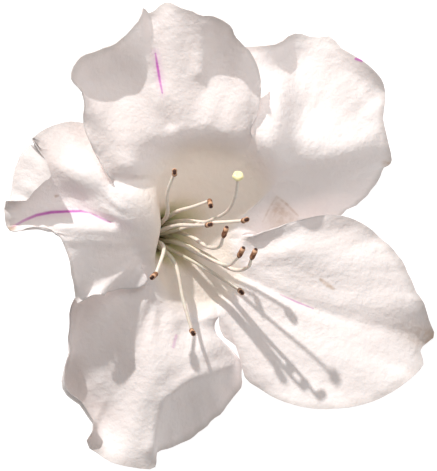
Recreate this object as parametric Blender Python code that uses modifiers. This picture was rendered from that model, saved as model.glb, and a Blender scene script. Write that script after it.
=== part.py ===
"""An azalea bloom, cut off with a short stalk and lying on its side.

Metres, +Z up. The bloom rests on Z = 0 with its mouth turned up and to the right: +X runs to the right, +Y to
the top petal, and the origin is under the middle of the bloom's box. Sizes below are in millimetres.
"""
import math

import bmesh
import bpy
import numpy as np
from mathutils import Matrix, Vector

MM = 0.001  # metres in one of the millimetres that the sizes below are given in
UNDER_MIDDLE = (0.574, -0.375, -0.047)  # the point that the origin stands for
GAP = 0.3  # clear space between neighbouring pieces

# The flower's axis runs from the stalk out through the throat.
AXIS = np.array((0.629, -0.134, 0.766))
THROAT = np.array((-11.0, 0.3, 9.6))  # middle of the ring where the narrow tube ends and the funnel starts
THROAT_RADIUS = 3.0
FOOT_RADIUS = 2.35  # middle of the tube's wall, at its foot
TUBE_LENGTH = 8.0
THROAT_PULL = 1.15  # how long the funnel's wall follows the tube before it opens
SHOULDER = 1.6  # how far a bend runs on into the next stretch of wall, against the stretch before it
SEAM_ANGLE = 80.0  # where the first seam leaves the throat, in degrees round the axis
PETAL_THICKNESS = 0.5
ACROSS = 28  # cells from one edge of a petal to the other
OUTWARD = 10  # cells from a petal's foot to its margin
# The wall runs out toward a margin evened out over this share of the petal's width to either side.
EVENED = 0.16
EVENING = np.linspace(-1.0, 1.0, 17)[1:-1]
EVENING_WEIGHTS = 1.0 + np.cos(EVENING * math.pi)
EVENING_WEIGHTS /= EVENING_WEIGHTS.sum()
RUFFLE_DEPTH = 6.0  # the power with which the ruffles grow toward the margin
OUTER_BEND = 0.5  # how far the bend before the margin runs on into it
FUNNEL_SWELL_END = 2.6  # how far outward the funnel's own swellings reach
FUNNEL_SWELL_FADE = 0.8  # the length over which they fade out
FULL_TURN = 0.4  # the share of a fold at which its margin is turned all the way

# Rings that the wall passes through on its way from the throat to the margins. Each goes clockwise from the
# seam between the top and the upper right petal: a point on each seam, and one under the middle of each petal.
WAIST = (
    (3.4, 12.4, 15.8),
    (7.0, 7.6, 13.0),
    (1.0, -0.2, 9.8),
    (2.8, -7.6, 8.9),
    (-1.0, -11.0, 9.2),
    (-8.4, -9.3, 11.6),
    (-10.8, -4.8, 15.4),
    (-10.0, 1.6, 18.6),
    (-10.2, 8.6, 18.4),
    (-7.0, 13.0, 17.6),
)
RIM = (
    (5.7, 16.7, 20.8),
    (11.4, 11.0, 14.6),
    (3.7, -0.1, 10.4),
    (6.4, -8.8, 9.2),
    (0.1, -13.7, 10.0),
    (-9.6, -14.5, 11.6),
    (-13.0, -5.5, 16.2),
    (-16.5, 2.2, 22.6),
    (-17.7, 8.9, 23.2),
    (-8.6, 17.6, 23.6),
)

# A petal's margin, clockwise from seam to seam: x, y, z, and how steeply the margin turns up (minus: down).
# "tip" is the number of the point where the midrib ends.
PETALS = {
    "petal_upper_right": {
        "tip": 17,
        "margin": (
            (5.7, 16.7, 20.8, 0.0),
            (4.1, 19.9, 20.2, 0.0),
            (2.5, 23.8, 20.6, 0.0),
            (2.0, 28.1, 21.4, 0.0),
            (3.7, 31.5, 21.2, 0.4),
            (7.4, 32.2, 21.2, 0.5),
            (10.5, 33.1, 20.0, 0.4),
            (13.3, 34.3, 18.0, 0.0),
            (16.4, 33.6, 16.5, 0.0),
            (19.3, 33.7, 16.5, 0.3),
            (20.4, 32.1, 16.5, 0.5),
            (22.8, 31.0, 16.5, 0.6),
            (25.6, 29.5, 16.5, 0.6),
            (27.0, 27.5, 15.5, 0.4),
            (28.5, 24.4, 12.5, 0.0),
            (28.0, 19.8, 11.0, -0.2),
            (29.0, 15.2, 9.0, -0.3),
            (29.4, 12.5, 6.0, -0.5),
            (27.9, 9.9, 2.5, -0.5),
            (25.7, 7.0, 0.2, -0.4),
            (21.8, 3.9, 0.6, -0.3),
            (17.0, 1.3, 3.8, 0.0),
            (12.0, -0.2, 6.6, 0.0),
            (8.2, -0.6, 8.4, 0.0),
            (5.6, 0.3, 9.6, 0.0),
            (3.7, -0.1, 10.4, 0.0),
        ),
    },
    "petal_lower_right": {
        "tip": 11,
        "margin": (
            (3.7, -0.1, 10.4, 0.0),
            (5.8, -0.2, 11.8, 0.0),
            (8.8, 1.1, 12.2, 0.0),
            (13.9, 2.6, 11.4, 0.0),
            (18.1, 3.5, 9.2, 0.0),
            (21.9, 3.2, 7.4, -0.2),
            (25.1, 1.8, 6.4, -0.3),
            (28.2, -0.8, 5.8, -0.3),
            (31.3, -4.2, 5.4, -0.3),
            (33.8, -9.4, 4.6, -0.3),
            (36.1, -13.7, 2.6, -0.5),
            (37.1, -17.7, 0.5, -0.6),
            (35.8, -18.7, 0.9, -0.5),
            (34.6, -19.6, 2.2, -0.4),
            (35.3, -21.5, 3.2, -0.2),
            (33.3, -24.2, 6.6, 0.0),
            (28.6, -27.4, 8.6, 0.1),
            (22.9, -29.3, 9.6, 0.2),
            (17.4, -29.7, 9.8, 0.2),
            (10.6, -28.2, 9.2, 0.1),
            (6.8, -26.1, 8.4, 0.0),
            (4.2, -24.2, 7.8, 0.0),
            (3.8, -21.6, 8.0, 0.0),
            (3.0, -18.9, 8.4, 0.0),
            (0.9, -17.3, 8.6, 0.0),
            (0.1, -15.2, 9.3, 0.0),
            (0.1, -13.7, 10.0, 0.0),
        ),
    },
    "petal_bottom": {
        "tip": 12,
        "margin": (
            (0.1, -13.7, 10.0, 0.0),
            (-0.9, -15.2, 8.8, 0.0),
            (-0.2, -17.8, 7.2, 0.0),
            (2.4, -20.1, 5.8, -0.5),
            (4.2, -22.7, 4.2, -0.5),
            (4.2, -25.3, 3.6, -0.5),
            (1.8, -28.4, 3.4, -0.5),
            (-1.3, -31.7, 3.4, -0.5),
            (-3.5, -34.1, 3.8, -0.5),
            (-5.4, -35.6, 4.5, -0.5),
            (-8.3, -36.4, 5.8, 0.0),
            (-10.7, -37.6, 7.5, 0.0),
            (-10.8, -39.6, 8.5, 0.0),
            (-14.8, -39.6, 9.0, 0.0),
            (-18.9, -38.5, 10.0, 0.4),
            (-20.9, -37.0, 9.8, 0.3),
            (-22.3, -35.0, 10.4, 0.4),
            (-21.6, -33.2, 10.6, 0.4),
            (-23.6, -30.0, 11.0, 0.4),
            (-25.7, -27.7, 11.4, 0.4),
            (-26.7, -24.7, 11.8, 0.4),
            (-26.0, -21.6, 12.0, 0.2),
            (-25.3, -17.0, 12.2, 0.0),
            (-23.6, -11.9, 12.4, 0.0),
            (-21.1, -8.1, 12.6, 0.0),
            (-17.6, -5.9, 13.0, 0.0),
            (-14.7, -5.2, 14.5, 0.0),
            (-13.0, -5.5, 16.2, 0.0),
        ),
    },
    "petal_left": {
        "tip": 12,
        "margin": (
            (-13.0, -5.5, 16.2, 0.0),
            (-12.1, -7.5, 16.1, 0.0),
            (-13.1, -8.7, 15.9, 0.0),
            (-15.8, -9.2, 16.4, 0.0),
            (-18.3, -9.7, 18.2, 0.0),
            (-21.0, -10.4, 21.4, 0.0),
            (-23.9, -11.4, 20.6, 0.0),
            (-24.2, -9.2, 22.0, 0.0),
            (-25.0, -6.1, 24.6, 0.0),
            (-25.6, -2.4, 26.4, 0.0),
            (-27.2, 0.6, 27.8, -0.3),
            (-31.0, 1.6, 29.2, -0.3),
            (-35.0, 0.8, 29.4, -0.3),
            (-35.9, 3.4, 29.6, -0.3),
            (-35.5, 7.3, 29.8, 0.5),
            (-34.4, 12.0, 29.2, 0.5),
            (-31.8, 15.7, 28.0, 0.5),
            (-28.8, 18.1, 25.8, 0.0),
            (-25.7, 19.1, 24.0, 0.0),
            (-22.7, 18.8, 22.0, 0.0),
            (-20.2, 16.1, 20.8, 0.0),
            (-18.7, 12.8, 21.2, 0.0),
            (-18.2, 10.6, 22.0, 0.0),
            (-17.7, 8.9, 23.2, 0.0),
        ),
    },
    "petal_top": {
        "tip": 13,
        "margin": (
            (-17.7, 8.9, 23.2, 0.0),
            (-18.3, 9.7, 25.4, 0.0),
            (-19.9, 12.7, 25.8, 0.0),
            (-22.1, 16.5, 26.8, 0.0),
            (-22.7, 19.7, 27.2, 0.2),
            (-22.5, 22.7, 28.4, 0.7),
            (-23.2, 24.7, 30.2, 1.1),
            (-24.7, 26.2, 31.4, 1.3),
            (-23.2, 29.7, 32.2, 1.3),
            (-19.9, 31.1, 31.4, 1.2),
            (-16.2, 33.1, 30.8, 0.8),
            (-13.8, 35.0, 30.4, 0.6),
            (-12.7, 38.3, 30.0, -0.3),
            (-11.7, 37.3, 29.4, -0.3),
            (-9.1, 39.0, 29.4, -0.3),
            (-4.8, 37.6, 30.8, 0.6),
            (-1.9, 36.2, 32.4, 1.5),
            (0.8, 36.2, 33.4, 1.8),
            (2.9, 33.3, 30.0, 1.4),
            (5.4, 30.7, 25.0, 0.4),
            (7.1, 26.9, 22.4, 0.0),
            (7.0, 22.7, 22.4, -0.1),
            (6.3, 19.8, 22.2, 0.0),
            (5.3, 17.7, 21.7, 0.0),
            (5.7, 16.7, 20.8, 0.0),
        ),
    },
}

# Folds that stand up from a petal (minus: sink into it): the line that the fold follows in plan, how far it
# reaches to either side, how soft its edge is, and its height.
FOLDS = {
    "petal_upper_right": (
        (((8.0, 21.0), (11.0, 27.0), (14.5, 33.0)), 1.6, 1.8, 0.8),
    ),
    "petal_lower_right": (
        (((3.5, -6.5), (10.6, -10.1), (16.2, -12.5), (27.0, -15.7), (36.0, -17.6)), 0.6, 0.9, -0.5),
        (((4.6, -22.6), (7.4, -24.4)), 1.1, 0.9, 0.35),
    ),
    "petal_bottom": (
        (((-11.4, -36.5), (-9.4, -28.0), (-4.6, -24.4), (2.4, -22.6)), 1.0, 1.2, 1.7),
    ),
    "petal_left": (
        (((-34.6, 1.6), (-32.0, 3.2), (-28.6, 3.9), (-22.7, 4.1), (-18.3, 2.3)), 0.5, 0.7, -1.3),
    ),
    "petal_top": (
        (((-8.2, 19.0), (-9.4, 24.0), (-10.6, 31.5), (-11.4, 36.0)), 0.9, 1.2, -1.0),
        (((-0.2, 34.0), (-1.6, 28.5)), 0.7, 1.0, 0.9),
    ),
}
# Rounded swellings of a petal (minus: hollows): the middle in plan, the reach along and across, how far the
# long way is turned from X in degrees, and the height.
SWELLS = {
    "funnel": (
                ((-15.4, -3.4), (3.4, 3.8), 0.0, -1.2),
        ((-14.0, 6.0), (4.0, 2.8), 0.0, 1.2),
    ),
    "petal_upper_right": (
        ((20.0, 14.4), (8.0, 2.2), -4.0, 1.4),
        ((11.2, 29.2), (3.2, 2.2), 60.0, -2.0),
        ((23.6, 26.4), (3.0, 2.0), -50.0, -1.8),
        ((8.0, 4.5), (3.4, 3.4), 0.0, -1.2),
        ((10.0, 20.0), (2.0, 4.5), 0.0, 1.1),
    ),
    "petal_lower_right": (
        ((20.0, -3.0), (9.0, 3.0), -8.0, 0.6),
        ((24.0, -20.0), (8.0, 5.0), -20.0, 1.2),
    ),
    "petal_bottom": (
        ((-12.0, -27.0), (10.0, 2.2), 76.0, 1.6),
        ((-18.0, -26.0), (8.0, 2.4), 85.0, -0.8),
    ),
    "petal_left": (
        ((-22.5, 1.2), (3.6, 1.5), -6.0, 0.5),
        ((-24.6, 10.6), (4.5, 2.2), -30.0, 1.9),
        ((-20.8, 12.6), (2.6, 3.0), 0.0, 1.1),
        ((-28.0, 5.6), (4.0, 1.6), 0.0, -1.8),
    ),
    "petal_top": (
        ((-18.6, 16.2), (4.2, 2.0), 105.0, 2.4),
        ((-15.4, 13.8), (4.6, 1.9), 95.0, 3.0),
        ((-14.2, 11.6), (1.8, 1.8), 0.0, 1.8),
        ((1.5, 17.6), (6.0, 1.6), 0.0, 0.8),
        ((-17.0, 27.0), (4.0, 3.0), 25.0, -1.0),
    ),
}
SEAM_SHARE = 0.08  # folds fade out over this share of a petal's width beside each seam

# Where a margin is turned up or folded back over its petal: shares of the way across with how much of the
# fold there is at each, its length, how far it is turned, in degrees, and the length of the bend.
TURNED_BACK = {
    "petal_left": (
        ((0.55, 0.0), (0.575, 0.5), (0.62, 0.75), (0.672, 1.0), (0.695, 0.8), (0.72, 0.0)),
        7.2,
        128.0,
        2.6,
    ),
    "petal_bottom": (
        ((0.6, 0.0), (0.66, 0.7), (0.74, 1.0), (0.82, 0.9), (0.87, 0.6), (0.9, 0.0)),
        2.4,
        100.0,
        3.2,
    ),
}

# Stamens: the anther's middle and the way it points, the filament's bends after the throat, and its place in
# degrees round the tube.
STAMEN_RING = 1.5  # radius on which the ten filaments stand round the ovary
FILAMENT_RADIUS = 0.28
STAMENS = (
    ((-7.4, 10.6, 25.5), (0.0, 0.1, 1.0), ((-8.7, 3.6, 17.4), (-8.6, 7.4, 22.0)), 142.0),
    ((-1.4, 5.4, 22.6), (0.1, -0.45, 0.9), ((-7.0, 4.1, 15.6), (-4.2, 4.9, 19.2)), 112.0),
    ((4.5, 2.6, 21.4), (0.25, 0.1, 0.95), ((-6.4, 2.5, 14.2), (-1.5, 2.2, 16.8)), 76.0),
    ((-1.6, 1.8, 28.6), (0.2, 0.05, 0.95), ((-7.2, 1.7, 17.2), (-4.0, 1.7, 22.8)), 186.0),
    ((1.1, 0.6, 26.6), (0.3, 0.85, 0.45), ((-4.8, -0.1, 14.0), (-1.8, -1.9, 17.0), (0.2, -1.8, 22.0)), 40.0),
    ((3.8, -2.8, 26.4), (0.42, 0.8, 0.45), ((-6.6, -1.4, 13.4), (-2.4, -3.6, 16.0), (1.4, -5.0, 20.0)), -32.0),
    ((5.9, -3.1, 27.8), (0.4, 0.85, 0.4), ((-2.6, -3.0, 14.0), (2.6, -5.8, 18.0), (5.0, -5.3, 23.0)), 4.0),
    ((-10.9, -6.8, 23.0), (-0.3, -0.3, 0.9), ((-9.3, -2.0, 16.6), (-9.8, -4.4, 20.4)), 222.0),
    ((3.8, -9.5, 19.6), (0.1, -0.1, 1.0), ((-4.4, -4.3, 13.4), (0.4, -7.2, 16.0)), -68.0),
    ((-4.4, -16.4, 17.0), (0.1, -0.15, 0.95), ((-7.6, -4.4, 14.2), (-6.0, -11.0, 15.4)), -104.0),
)
FILAMENT_TAPER = 0.8  # the radius under the anther, against the radius at the foot
PARTING = 0.55  # share of the tube's length up to which the filaments stand straight round the ovary
ANTHER_LENGTH = 2.3
ANTHER_WIDTH = 1.25
ANTHER_LOBES = (2, 0.16)  # how many round the body, and how deep
OVARY_LENGTH = 3.2
OVARY_RADIUS = 0.9
OVARY_LOBES = (5, 0.06)
OVARY_TIP = 0.75  # clear space between the ovary and the style
STYLE_PARTING = 0.75
STYLE_RADIUS = 0.33
STYLE_BENDS = ((-5.4, 1.4, 15.0), (-0.8, 2.8, 20.8), (1.6, 4.2, 25.2), (2.9, 7.0, 30.4))
STIGMA = (3.25, 9.9, 35.0)
STIGMA_RADIUS = 0.95
STIGMA_LOBES = (5, 0.08)
STIGMA_SEAT = 0.72  # how far the stigma's underside reaches down, against its radius

# Behind the tube
RECEPTACLE_RADIUS = 2.35
RECEPTACLE_LENGTH = 1.6
SEPALS = 5
SEPAL_CELLS = 6  # cells across a sepal
SEPAL_STEPS = 4  # cells from a sepal's foot to its tip
SEPAL_REACH = 2.6
SEPAL_NOTCH = 0.35  # how far the calyx reaches between two sepals, against a tip
SEPAL_FLARE = 0.3  # how far the notches stand off the tube
SEPAL_TIP_FLARE = 0.4  # how much further the tips do
SEPAL_THICKNESS = 0.45
PEDICEL_RADIUS = 0.75
PEDICEL_STEPS = 10
PEDICEL_NECK = 0.5  # straight length under the receptacle
PEDICEL_SEAT = 0.66  # clear space between the receptacle's middle and the stalk
PEDICEL_PATH = ((-19.3, 2.2, 0.85), (-22.2, 3.3, 0.8), (-26.0, 4.2, 0.8))

# How the round bodies swell: share of the length (or of the half length) against share of the radius.
ANTHER_SECTIONS = ((-0.93, 0.55), (-0.6, 0.95), (0.0, 1.0), (0.6, 0.9), (0.93, 0.5))
OVARY_SECTIONS = ((0.0, 0.9), (0.3, 1.0), (0.65, 0.8), (0.97, 0.42))
STIGMA_SECTIONS = ((-0.62, 0.5), (-0.2, 0.95), (0.3, 1.0), (0.6, 0.7))
RECEPTACLE_SECTIONS = ((0.0, 0.36), (0.3, 0.7), (0.7, 0.97), (0.97, 1.0))
RECEPTACLE_LOBES = (5, 0.0)
ROUND_END = 0.25  # how far the ends of a round body stand out, against its last section's length
ROUND_SIDES = 12
FILAMENT_STEPS = 12
STYLE_STEPS = 16
FUNNEL_SIDES = 50
TUBE_RINGS = np.linspace(-1.0, 0.0, 5)[:-1]
FUNNEL_RINGS = np.concatenate((np.linspace(0.0, 1.0, 5)[:-1], np.linspace(1.0, 1.97, 5)))
MOUTH_RING = 1.6  # radius on which the filaments pass the throat
RIM_CLEARANCE = 0.3  # between the funnel's rim and each petal
SEAM_CLEARANCE = 0.025  # share of a petal's width left off at each seam

PETAL_WHITE = (0.90, 0.84, 0.83)
FUNNEL_CREAM = (0.72, 0.63, 0.53)
FILAMENT_CREAM = (0.82, 0.74, 0.66)
ANTHER_BROWN = (0.30, 0.13, 0.06)
STIGMA_YELLOW = (0.88, 0.76, 0.24)
STALK_GREEN = (0.24, 0.33, 0.10)


def unit(vector):
    """The same direction, one long."""
    return vector / np.linalg.norm(vector)


AXIS = unit(AXIS)
LOW_SIDE = unit(np.array((0.0, 0.0, -1.0)) + AXIS * AXIS[2])  # square to the axis, on the tube's lower side
CROSS_SIDE = np.cross(AXIS, LOW_SIDE)


def hermite(start, end, leaving, arriving, share):
    """Cubic from start to end with those tangents, at shares 0 to 1 of the way."""
    s = share[..., None]
    return (
        start * (2 * s**3 - 3 * s**2 + 1)
        + leaving * (s**3 - 2 * s**2 + s)
        + end * (3 * s**2 - 2 * s**3)
        + arriving * (s**3 - s**2)
    )


class Curve:
    """A smooth curve through knots. A place on it is a distance from knot to knot, up to that place."""

    def __init__(self, knots):
        self.knots = np.array(knots, float)
        self.steps = np.linalg.norm(np.diff(self.knots[:, :3], axis=0), axis=1)
        self.places = np.concatenate(((0.0,), np.cumsum(self.steps)))
        slopes = np.diff(self.knots, axis=0) / self.steps[:, None]
        self.tangents = np.vstack((slopes[:1], slopes))
        before, after = self.steps[:-1, None], self.steps[1:, None]
        self.tangents[1:-1] = (slopes[1:] * before + slopes[:-1] * after) / (before + after)

    def at(self, places):
        """Points on the curve."""
        first = np.clip(np.searchsorted(self.places, places, side="right") - 1, 0, len(self.steps) - 1)
        step = self.steps[first]
        share = (places - self.places[first]) / step
        leaving = self.tangents[first] * step[..., None]
        arriving = self.tangents[first + 1] * step[..., None]
        return hermite(self.knots[first], self.knots[first + 1], leaving, arriving, share)

    def between(self, first, last, shares):
        """Points at shares 0 to 1 of the way from one knot to another."""
        start, end = self.places[first], self.places[last]
        return self.at(start + (end - start) * shares)


def ring_direction(angle):
    """Out from the axis, at an angle in degrees round it."""
    turn = np.radians(angle)[..., None]
    return LOW_SIDE * np.cos(turn) + CROSS_SIDE * np.sin(turn)


def round_ring(ring, number, across):
    """A ring's part under one petal."""
    curve = Curve(ring[-3:] + ring + ring[:3])
    return curve.between(3 + 2 * number, 5 + 2 * number, across)


def margin_points(petal, across):
    """The petal's margin, with the end of its midrib at the middle."""
    margin = PETALS[petal]["margin"]
    tip = PETALS[petal]["tip"]
    curve = Curve(margin)
    left_half = curve.between(0, tip, np.clip(2 * across, 0.0, 1.0))
    right_half = curve.between(tip, len(margin) - 1, np.clip(2 * across - 1, 0.0, 1.0))
    return np.where((across < 0.5)[:, None], left_half, right_half)


def rays(petal, across):
    """What the wall runs through at each place across a petal: the tube's foot, the throat, the waist, the
    rim and the margin with its ruffles evened out. Then how the margin turns up, and the ruffles."""
    number = list(PETALS).index(petal)
    ring = ring_direction(SEAM_ANGLE - 360.0 / len(PETALS) * (number + across))
    foot = THROAT - AXIS * TUBE_LENGTH + ring * FOOT_RADIUS
    throat = THROAT + ring * THROAT_RADIUS
    waist = round_ring(WAIST, number, across)
    rim = round_ring(RIM, number, across)
    margin = margin_points(petal, across)
    spread = EVENED * np.minimum(1.0, 4 * across * (1 - across))
    evened = sum(
        weight * margin_points(petal, across + spread * offset)
        for offset, weight in zip(EVENING, EVENING_WEIGHTS)
    )
    knots = np.array((foot, throat, waist, rim, evened[:, :3]))
    return knots, evened[:, 3:], (margin - evened)[:, :3]


def fold_heights(petal, across, points):
    """How far the petal's folds and swellings lift each point."""
    lift = np.zeros(points.shape[:2])
    for path, reach, edge, height in FOLDS[petal]:
        nearest = np.full(lift.shape, np.inf)
        for start, end in zip(np.array(path[:-1]), np.array(path[1:])):
            way = end - start
            share = np.clip((points[..., :2] - start) @ way / (way @ way), 0.0, 1.0)
            away = np.linalg.norm(points[..., :2] - start - share[..., None] * way, axis=-1)
            nearest = np.minimum(nearest, away)
        lift += height / (1.0 + np.exp((nearest - reach) / (edge * 0.5)))
    lift += swollen(points, SWELLS[petal])
    beside_seam = np.clip(np.minimum(across, 1.0 - across) / SEAM_SHARE, 0.0, 1.0)
    return lift * (beside_seam**2 * (3 - 2 * beside_seam))[:, None]


def swollen(points, swells):
    """How far rounded swellings lift each point."""
    lift = np.zeros(points.shape[:2])
    for middle, (long, wide), turned, height in swells:
        turn = math.radians(turned)
        away = points[..., :2] - middle
        along = away @ (math.cos(turn), math.sin(turn)) / long
        aside = away @ (-math.sin(turn), math.cos(turn)) / wide
        lift += height * np.exp(-(along**2 + aside**2) / 2)
    return lift


def bent(points, start, length, degrees):
    """Rows of points that follow their old way up to a distance, and then turn up and back over a length."""
    steps = np.diff(points, axis=1)
    lengths = np.linalg.norm(steps, axis=2)
    ways = steps / lengths[..., None]
    sides = np.cross(ways, (0.0, 0.0, 1.0))
    ups = np.cross(sides / np.linalg.norm(sides, axis=2)[..., None], ways)
    middles = np.cumsum(lengths, axis=1) - lengths / 2
    share = np.clip((middles - start[:, None]) / length, 0.0, 1.0)
    angle = np.radians(degrees)[:, None] * share
    ways = ways * np.cos(angle)[..., None] + ups * np.sin(angle)[..., None]
    route = np.cumsum(ways * lengths[..., None], axis=1)
    return np.concatenate((points[:, :1], points[:, :1] + route), axis=1)


def wall(petal, across, outward):
    """Points of the corolla's wall, with one row of outward values for each place across. Outward runs from
    -1 at the tube's foot through 0 at the throat, 1 at the waist and 2 at the rim to 3 at the margin."""
    knots, turn, ruffles = rays(petal, across)
    chords = np.diff(knots, axis=0)
    lengths = np.linalg.norm(chords, axis=2)[..., None]
    through = np.empty_like(knots)
    through[1:-1] = (chords[:-1] + chords[1:]) / (lengths[:-1] + lengths[1:])
    through[0] = AXIS
    through[1] = AXIS * THROAT_PULL
    last = chords[-1] / np.maximum(lengths[-1], 0.001)
    through[-1] = (1.0 + OUTER_BEND) * last - OUTER_BEND * through[-2] + turn * np.array((0.0, 0.0, 1.0))
    points = np.zeros(outward.shape + (3,))
    for span in range(len(chords)):
        share = np.clip(outward - (span - 1), 0.0, 1.0)
        inside = (outward >= span - 1) & ((outward < span) | (span == len(chords) - 1))
        length = lengths[span]
        before = length if span == 0 else np.minimum(length, SHOULDER * lengths[span - 1])
        after = length if span == len(chords) - 1 else np.minimum(length, SHOULDER * lengths[span + 1])
        leaving, arriving = through[span] * before, through[span + 1] * after
        start, end = knots[span], knots[span + 1]
        line = hermite(start[:, None], end[:, None], leaving[:, None], arriving[:, None], share)
        points[inside] = line[inside]
    toward_margin = np.clip(outward - 2.0, 0.0, 1.0) ** RUFFLE_DEPTH
    points += toward_margin[..., None] * ruffles[:, None]
    in_funnel = np.clip(outward, 0.0, 1.0) * np.clip(
        (FUNNEL_SWELL_END - outward) / FUNNEL_SWELL_FADE, 0.0, 1.0
    )
    in_funnel = in_funnel**2 * (3 - 2 * in_funnel)
    points[..., 2] += fold_heights(petal, across, points) + in_funnel * swollen(points, SWELLS["funnel"])
    return points


def blade(petal, across, outward):
    """The petal's own part of the wall, from just past the rim, with its margin turned back where it is."""
    points = wall(petal, across, outward)
    if petal not in TURNED_BACK:
        return points
    profile, length, degrees, bend = TURNED_BACK[petal]
    share = np.interp(across, *zip(*profile))
    turned = np.flatnonzero(share)
    rows, share = points[turned], share[turned]
    last_way = rows[:, -1] - rows[:, -2]
    last_way /= np.linalg.norm(last_way, axis=1)[:, None]
    steps = np.linalg.norm(np.diff(rows, axis=1), axis=2)
    reach = np.concatenate((np.zeros((len(rows), 1)), np.cumsum(steps, axis=1)), axis=1)
    stretched = np.empty_like(rows)
    for row, longer in enumerate(1.0 + share * length / reach[:, -1]):
        wanted = reach[row] * longer
        beyond = np.maximum(wanted - reach[row, -1], 0.0)
        for axis in range(3):
            stretched[row, :, axis] = np.interp(wanted, reach[row], rows[row, :, axis])
        stretched[row] += beyond[:, None] * last_way[row]
    angles = degrees * np.minimum(1.0, share / FULL_TURN)
    points[turned] = bent(stretched, reach[:, -1] - bend / 2, bend, angles)
    return points


def clear_scene():
    """Removes what the file opened with."""
    for item in list(bpy.data.objects):
        bpy.data.objects.remove(item, do_unlink=True)


def finish_material(name, colour, roughness):
    """A plain finish."""
    material = bpy.data.materials.new(name)
    material.use_nodes = True
    shader = material.node_tree.nodes["Principled BSDF"]
    shader.inputs["Base Color"].default_value = (*colour, 1.0)
    shader.inputs["Roughness"].default_value = roughness
    shader.inputs["Metallic"].default_value = 0.0
    return material


def add_object(name, data, material, collection):
    """An object for a mesh or a curve."""
    item = bpy.data.objects.new(name, data)
    data.materials.append(material)
    collection.objects.link(item)
    return item


def placed(point):
    """A point in metres from the origin."""
    return (Vector(point) - Vector(UNDER_MIDDLE)) * MM


def sheet_mesh(name, points, closed):
    """A grid of faces through rows of points. When it is closed, the last row meets the first."""
    rows, columns = points.shape[:2]
    mesh = bpy.data.meshes.new(name)
    grid = bmesh.new()
    bmesh.ops.create_grid(grid, x_segments=rows - 1, y_segments=columns - 1, size=1.0)
    for vertex in grid.verts:
        row = round((vertex.co.x + 1) / 2 * (rows - 1))
        column = round((vertex.co.y + 1) / 2 * (columns - 1))
        vertex.co = placed(points[row, column])
    if closed:
        bmesh.ops.remove_doubles(grid, verts=grid.verts, dist=0.01 * MM)
    bmesh.ops.reverse_faces(grid, faces=grid.faces)
    grid.to_mesh(mesh)
    grid.free()
    mesh.shade_smooth()
    return mesh


def add_sheet(name, points, thickness, material, collection, closed=False):
    """A thin wall whose middle runs through rows of points."""
    item = add_object(name, sheet_mesh(name, points, closed), material, collection)
    wall_depth = item.modifiers.new("Thickness", "SOLIDIFY")
    wall_depth.thickness = thickness * MM
    wall_depth.offset = 0.0
    wall_depth.use_even_offset = False
    return item


def add_tube(name, path, radii, material, collection):
    """A round stem along a path, with closed ends."""
    curve = bpy.data.curves.new(name, "CURVE")
    curve.dimensions = "3D"
    curve.bevel_depth = max(radii) * MM
    curve.bevel_resolution = 2
    curve.use_fill_caps = True
    spline = curve.splines.new("POLY")
    spline.points.add(len(path) - 1)
    for point, place, radius in zip(spline.points, path, radii):
        point.co = (*placed(place), 1.0)
        point.radius = radius / max(radii)
    return add_object(name, curve, material, collection)


def turned_to(direction):
    """The rotation that stands +Z along a direction."""
    return Vector(direction).to_track_quat("Z", "X").to_matrix().to_4x4()


def add_round(name, middle, direction, sections, lobes, material, collection):
    """A body turned round a direction: sections are (distance along it, radius). Lobes are (count, depth)."""
    count, depth = lobes
    mesh = bpy.data.meshes.new(name)
    body = bmesh.new()
    bmesh.ops.create_uvsphere(body, u_segments=ROUND_SIDES, v_segments=len(sections) + 1, radius=1.0)
    heights = [section[0] for section in sections]
    ring_heights = [math.cos(math.pi * (ring + 1) / (len(sections) + 1)) for ring in range(len(sections))]
    for vertex in body.verts:
        angle = math.atan2(vertex.co.y, vertex.co.x)
        if abs(vertex.co.z) > 0.9999:
            top = vertex.co.z > 0
            end, inner = (heights[-1], heights[-2]) if top else (heights[0], heights[1])
            vertex.co = (0.0, 0.0, end + (end - inner) * ROUND_END)
            continue
        ring = min(range(len(sections)), key=lambda number: abs(ring_heights[number] - vertex.co.z))
        height, radius = sections[len(sections) - 1 - ring]
        radius *= 1.0 + depth * math.cos(count * angle)
        vertex.co = (radius * math.cos(angle), radius * math.sin(angle), height)
    body.transform(Matrix.Scale(MM, 4))
    body.transform(Matrix.Translation(placed(middle)) @ turned_to(direction))
    body.to_mesh(mesh)
    body.free()
    mesh.shade_smooth()
    return add_object(name, mesh, material, collection)


def along_axis(distance):
    """A point on the flower's axis, so far beyond the tube's foot."""
    return THROAT - AXIS * (TUBE_LENGTH - distance)


def blade_grid(petal, across_cells, outward_cells):
    """Places across and outward for a petal's blade, clear of the funnel's rim and of the seams."""
    across = np.linspace(SEAM_CLEARANCE, 1.0 - SEAM_CLEARANCE, across_cells + 1)
    knots, _, ruffles = rays(petal, across)
    inside = np.linalg.norm(knots[3] - knots[2], axis=1)
    length = np.linalg.norm(knots[4] + ruffles - knots[3], axis=1)
    start = 2.0 + RIM_CLEARANCE / np.minimum(length, SHOULDER * inside)
    return across, start[:, None] + (3.0 - start[:, None]) * np.linspace(0.0, 1.0, outward_cells + 1)


def add_corolla(petal_finish, funnel_finish, collection):
    """The tube and funnel as one wall, and each petal as a wall of its own."""
    rows = []
    for petal in PETALS:
        across = np.linspace(0.0, 1.0, FUNNEL_SIDES // len(PETALS) + 1)
        outward = np.tile(np.concatenate((TUBE_RINGS, FUNNEL_RINGS)), (len(across), 1))
        rows.append(wall(petal, across, outward)[:-1])
    points = np.concatenate(rows + [rows[0][:1]])
    add_sheet("corolla_tube", points, PETAL_THICKNESS, funnel_finish, collection, closed=True)
    for petal in PETALS:
        across, outward = blade_grid(petal, ACROSS, OUTWARD)
        add_sheet(petal, blade(petal, across, outward), PETAL_THICKNESS, petal_finish, collection)


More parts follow.
